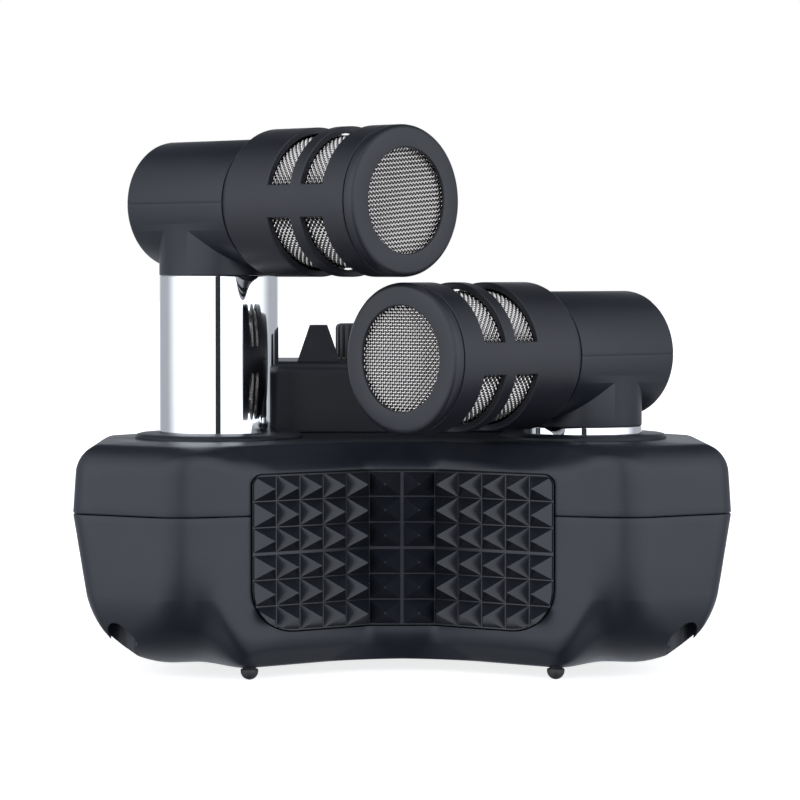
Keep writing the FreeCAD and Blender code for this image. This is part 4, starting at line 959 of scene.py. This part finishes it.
EDGE_WIDTHS = {
    0.5: ("knob_housing",),
    0.3: (
        "body_lower_shell", "body_upper_shell", "record_button", "stop_button", "play_button",
        "rewind_button", "forward_button", "menu_button",
    ),
    0.25: ("battery_door",),
    0.15: ("card_door", "feet", "tripod_insert", "headphone_jack", "line_jack", "display_window"),
    0.14: ("gain_knob",),
    0.12: ("jog_wheel", "power_switch"),
    0.1: ("head_screws", "body_screws"),
    0.06: ("usb_port",),
}


def soften_nodes():
    """Merge each listed node's triangles and bevel its edges; modifiers leave its mesh alone."""
    for width, names in EDGE_WIDTHS.items():
        for name in names:
            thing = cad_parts[name]
            weld = thing.modifiers.new("weld", "WELD")
            weld.merge_threshold = 0.0005 * MM
            flat = thing.modifiers.new("flat faces", "DECIMATE")
            flat.decimate_type = "DISSOLVE"
            flat.angle_limit = math.radians(0.5)
            soften(thing, width)


# ---------------------------------------------------------------------------------------------
# Key symbols, the knob's pointer and the display's figures, all in thin relief.

KEYS = {
    "record": (0.0, 124.0),
    "stop": (-14.0, 124.0),
    "play": (14.0, 124.0),
    "rewind": (-14.0, 136.0),
    "forward": (14.0, 136.0),
    "menu": (-14.0, 112.5),
}
KEY_TOP = 32.2
DISPLAY_TOP = 28.7
DISPLAY_Y = 92.5
SEGMENTS = {"0": "abcdef", "1": "bc", "2": "abged", "4": "fgbc", "8": "abcdefg"}
FIGURES = "001248"
FIGURE_HALF_WIDTH = 1.3
FIGURE_HALF_HEIGHT = 2.5
FIGURE_ROW = 4.0
BARS = ((-2.4, 17), (-5.4, 14))


def rectangle(x, y, half_x, half_y):
    """A rectangle's corners about its centre."""
    signs = ((-1, -1), (1, -1), (1, 1), (-1, 1))
    return [(x + across * half_x, y + along * half_y) for across, along in signs]


def symbol(name):
    """The flat outlines of a key's symbol, in millimetres about its centre; the far side is up."""
    if name == "record":
        turns = np.linspace(0, 2 * math.pi, 33)[:-1]
        return [[(1.5 * math.cos(turn), 1.5 * math.sin(turn)) for turn in turns]]
    if name == "stop":
        return [rounded([(x, y, 0.15) for x, y in rectangle(0, 0, 1.1, 1.1)])]
    if name == "menu":
        return [rectangle(0, row, 1.1, 0.18) for row in (-0.8, 0.0, 0.8)]
    starts, length, half = ((-0.8,), 1.9, 1.25) if name == "play" else ((-1.5, 0.1), 1.5, 1.05)
    arrows = []
    for start in starts:
        corners = [(start, -half, 0.1), (start + length, 0, 0.1), (start, half, 0.1)]
        if name == "rewind":
            corners = [(-x, y, radius) for x, y, radius in corners]
        arrows.append(rounded(corners))
    return arrows


def add_relief(name, outlines, low, high, place, slot, body):
    """A piece of flat outlines in thin relief, turned to be read from the keys' end."""
    relief = joined([prism(outline, low, high) for outline in outlines])
    piece(name, moved(relief, Matrix.Rotation(math.pi, 4, "Z")), place, slot, body)


def key_symbols():
    """A light symbol on every key, which rides on the key."""
    for name, (x, y) in KEYS.items():
        heights = (KEY_TOP - 0.3, KEY_TOP + 0.04)
        add_relief(f"{name}_symbol", symbol(name), *heights, at(x, y, 0), "bushing", f"{name}_button")


def segment(letter):
    """One bar of a seven-segment figure, about the figure's centre."""
    wide = FIGURE_HALF_WIDTH
    tall = FIGURE_HALF_HEIGHT
    places = {
        "a": (0, tall), "g": (0, 0), "d": (0, -tall),
        "b": (wide, tall / 2), "c": (wide, -tall / 2),
        "e": (-wide, -tall / 2), "f": (-wide, tall / 2),
    }
    x, y = places[letter]
    upright = letter in "bcef"
    reach = (tall / 2 if upright else wide) - 0.12
    tip = 0.16 * wide
    bar = [
        (-reach, 0), (-reach + tip, -tip), (reach - tip, -tip),
        (reach, 0), (reach - tip, tip), (-reach + tip, tip),
    ]
    if upright:
        bar = [(-across, along) for along, across in bar]
    return [(x + across, y + along) for across, along in bar]


def display_figures():
    """Counter figures and two level bars on the display."""
    outlines = []
    for index, figure in enumerate(FIGURES):
        centre = -12.6 + index * 4.3 + (index // 2) * 1.2
        for letter in SEGMENTS[figure]:
            outlines.append([(centre + x, FIGURE_ROW + y) for x, y in segment(letter)])
        if index in (1, 3):
            outlines += [rectangle(centre + 2.75, FIGURE_ROW + side, 0.3, 0.3) for side in (-1, 1)]
    for row, count in BARS:
        for index in range(count):
            outlines.append(rectangle(-13.175 + index * 1.25, row, 0.425, 0.9))
    heights = (DISPLAY_TOP - 0.05, DISPLAY_TOP + 0.03)
    add_relief("display_figures", outlines, *heights, at(0, DISPLAY_Y, 0), "component", "recorder")


def knob_pointer():
    """The light line in the gain knob's pointer groove."""
    line = prism(rounded([(x, y, 0.3) for x, y in rectangle(0, -5.95, 0.36, 2.35)]), 46.8, 47.12)
    piece("knob_pointer", line, at(0, 58, 0), "bushing", "gain_knob")


# ---------------------------------------------------------------------------------------------
# Studio: a white floor, a white surround for the camera, and a light tent for everything else.

CAMERA_PLACE = (-0.006147, -0.55350, 0.054918)
CAMERA_DIP = 0.03533
CAMERA_TURN = -0.01182
CAMERA_LENS = 164.4


def studio_world():
    """Light tent by direction: white walls with a narrow slit at the front, darker above and below."""
    world = bpy.data.worlds.new("studio")
    bpy.context.scene.world = world
    world.use_nodes = True
    tree = world.node_tree
    tree.nodes.clear()
    direction = node(tree, "ShaderNodeTexCoord").outputs["Generated"]
    split = node(tree, "ShaderNodeSeparateXYZ", {"Vector": direction})
    across, along, up = split.outputs
    aside = calc(tree, "ABSOLUTE", across)
    # Angles: around the upright axis from the front, and above the horizon.
    around = calc(tree, "ARCTAN2", aside, calc(tree, "MULTIPLY", along, -1.0))
    rise = calc(tree, "ARCSINE", up)

    def degrees(value, low, high, start, end):
        """Ramp of an angle, between limits in degrees."""
        return ramp(tree, value, math.radians(low), math.radians(high), start, end)

    def product(*values):
        """The values, multiplied together."""
        return functools.reduce(lambda one, other: calc(tree, "MULTIPLY", one, other), values)

    slit = degrees(around, 4.6, 5.4, 0.02, 1.0)
    side = degrees(around, 70, 120, 1.75, 0.45)
    rear = degrees(around, 150, 168, 0.0, 0.6)
    rear_top = ramp(tree, aside, 0.4, 0.7, degrees(rise, 3, 24, 1.0, 0.15), 1.0)
    behind = ramp(tree, along, -0.1, 0.3, 1.0, rear_top)
    floor = ramp(tree, aside, 0.3, 0.5, 0.03, 0.42)
    above = degrees(rise, 14, 85, 1.0, 0.36)
    below = degrees(rise, -42, 9, floor, 1.0)
    walls = product(slit, calc(tree, "ADD", side, rear), above, below, behind)
    sweep = product(degrees(rise, -12, -2, 1.0, 0.0), ramp(tree, along, 0.35, 0.8, 0.0, 0.8))
    light = calc(tree, "MAXIMUM", walls, sweep)
    tint = {"Red": 0.95, "Green": 1.0, "Blue": 1.09}
    channels = {name: calc(tree, "MULTIPLY", light, share) for name, share in tint.items()}
    colour = node(tree, "ShaderNodeCombineColor", channels)
    tent = node(tree, "ShaderNodeBackground", {"Color": colour.outputs["Color"], "Strength": 1.0})
    white = node(tree, "ShaderNodeBackground", {"Color": (1, 1, 1, 1), "Strength": 1.0})
    seen = node(tree, "ShaderNodeLightPath").outputs["Is Camera Ray"]
    mixed = node(tree, "ShaderNodeMixShader", {0: seen, 1: tent.outputs[0], 2: white.outputs[0]})
    output = node(tree, "ShaderNodeOutputWorld")
    wire(tree, output.inputs["Surface"], mixed.outputs[0])


def pale_floor():
    """White table top that fades into the white surround."""
    mesh = bpy.data.meshes.new("floor")
    shape = bmesh.new()
    bmesh.ops.create_circle(shape, cap_ends=True, radius=6.0, segments=96)
    shape.to_mesh(mesh)
    shape.free()
    floor = add_object("floor", mesh, Matrix.Identity(4))
    material, tree, surface = empty_material("floor_white")
    where = node(tree, "ShaderNodeTexCoord").outputs["Object"]
    faint = noise(tree, where, 0.4)
    whites = (shade((1, 1, 1), 0.80), shade((1, 1, 1), 0.84))
    wire(tree, surface.inputs["Base Color"], blend_colour(tree, faint, *whites))
    surface.inputs["Roughness"].default_value = 0.9
    surface.inputs["Emission Color"].default_value = (1, 1, 1, 1)
    surface.inputs["Emission Strength"].default_value = 0.78
    mesh.materials.append(material)
    floor.visible_glossy = False
    floor.visible_diffuse = False
    floor.visible_shadow = False


def camera():
    """The viewpoint: low, in front of the microphones, through a long lens."""
    data = bpy.data.cameras.new("camera")
    data.lens = CAMERA_LENS
    data.sensor_width = 36.0
    data.clip_start = 0.05
    data.clip_end = 40.0
    thing = add_object("camera", data, Matrix.Identity(4))
    thing.location = CAMERA_PLACE
    thing.rotation_euler = (math.pi / 2 - CAMERA_DIP, 0.0, CAMERA_TURN)
    bpy.context.scene.camera = thing


paint_nodes()
microphones()
head_shells()
diffuser()
soften_nodes()
key_symbols()
display_figures()
knob_pointer()
studio_world()
pale_floor()
camera()
bpy.context.scene.view_settings.view_transform = "Standard"
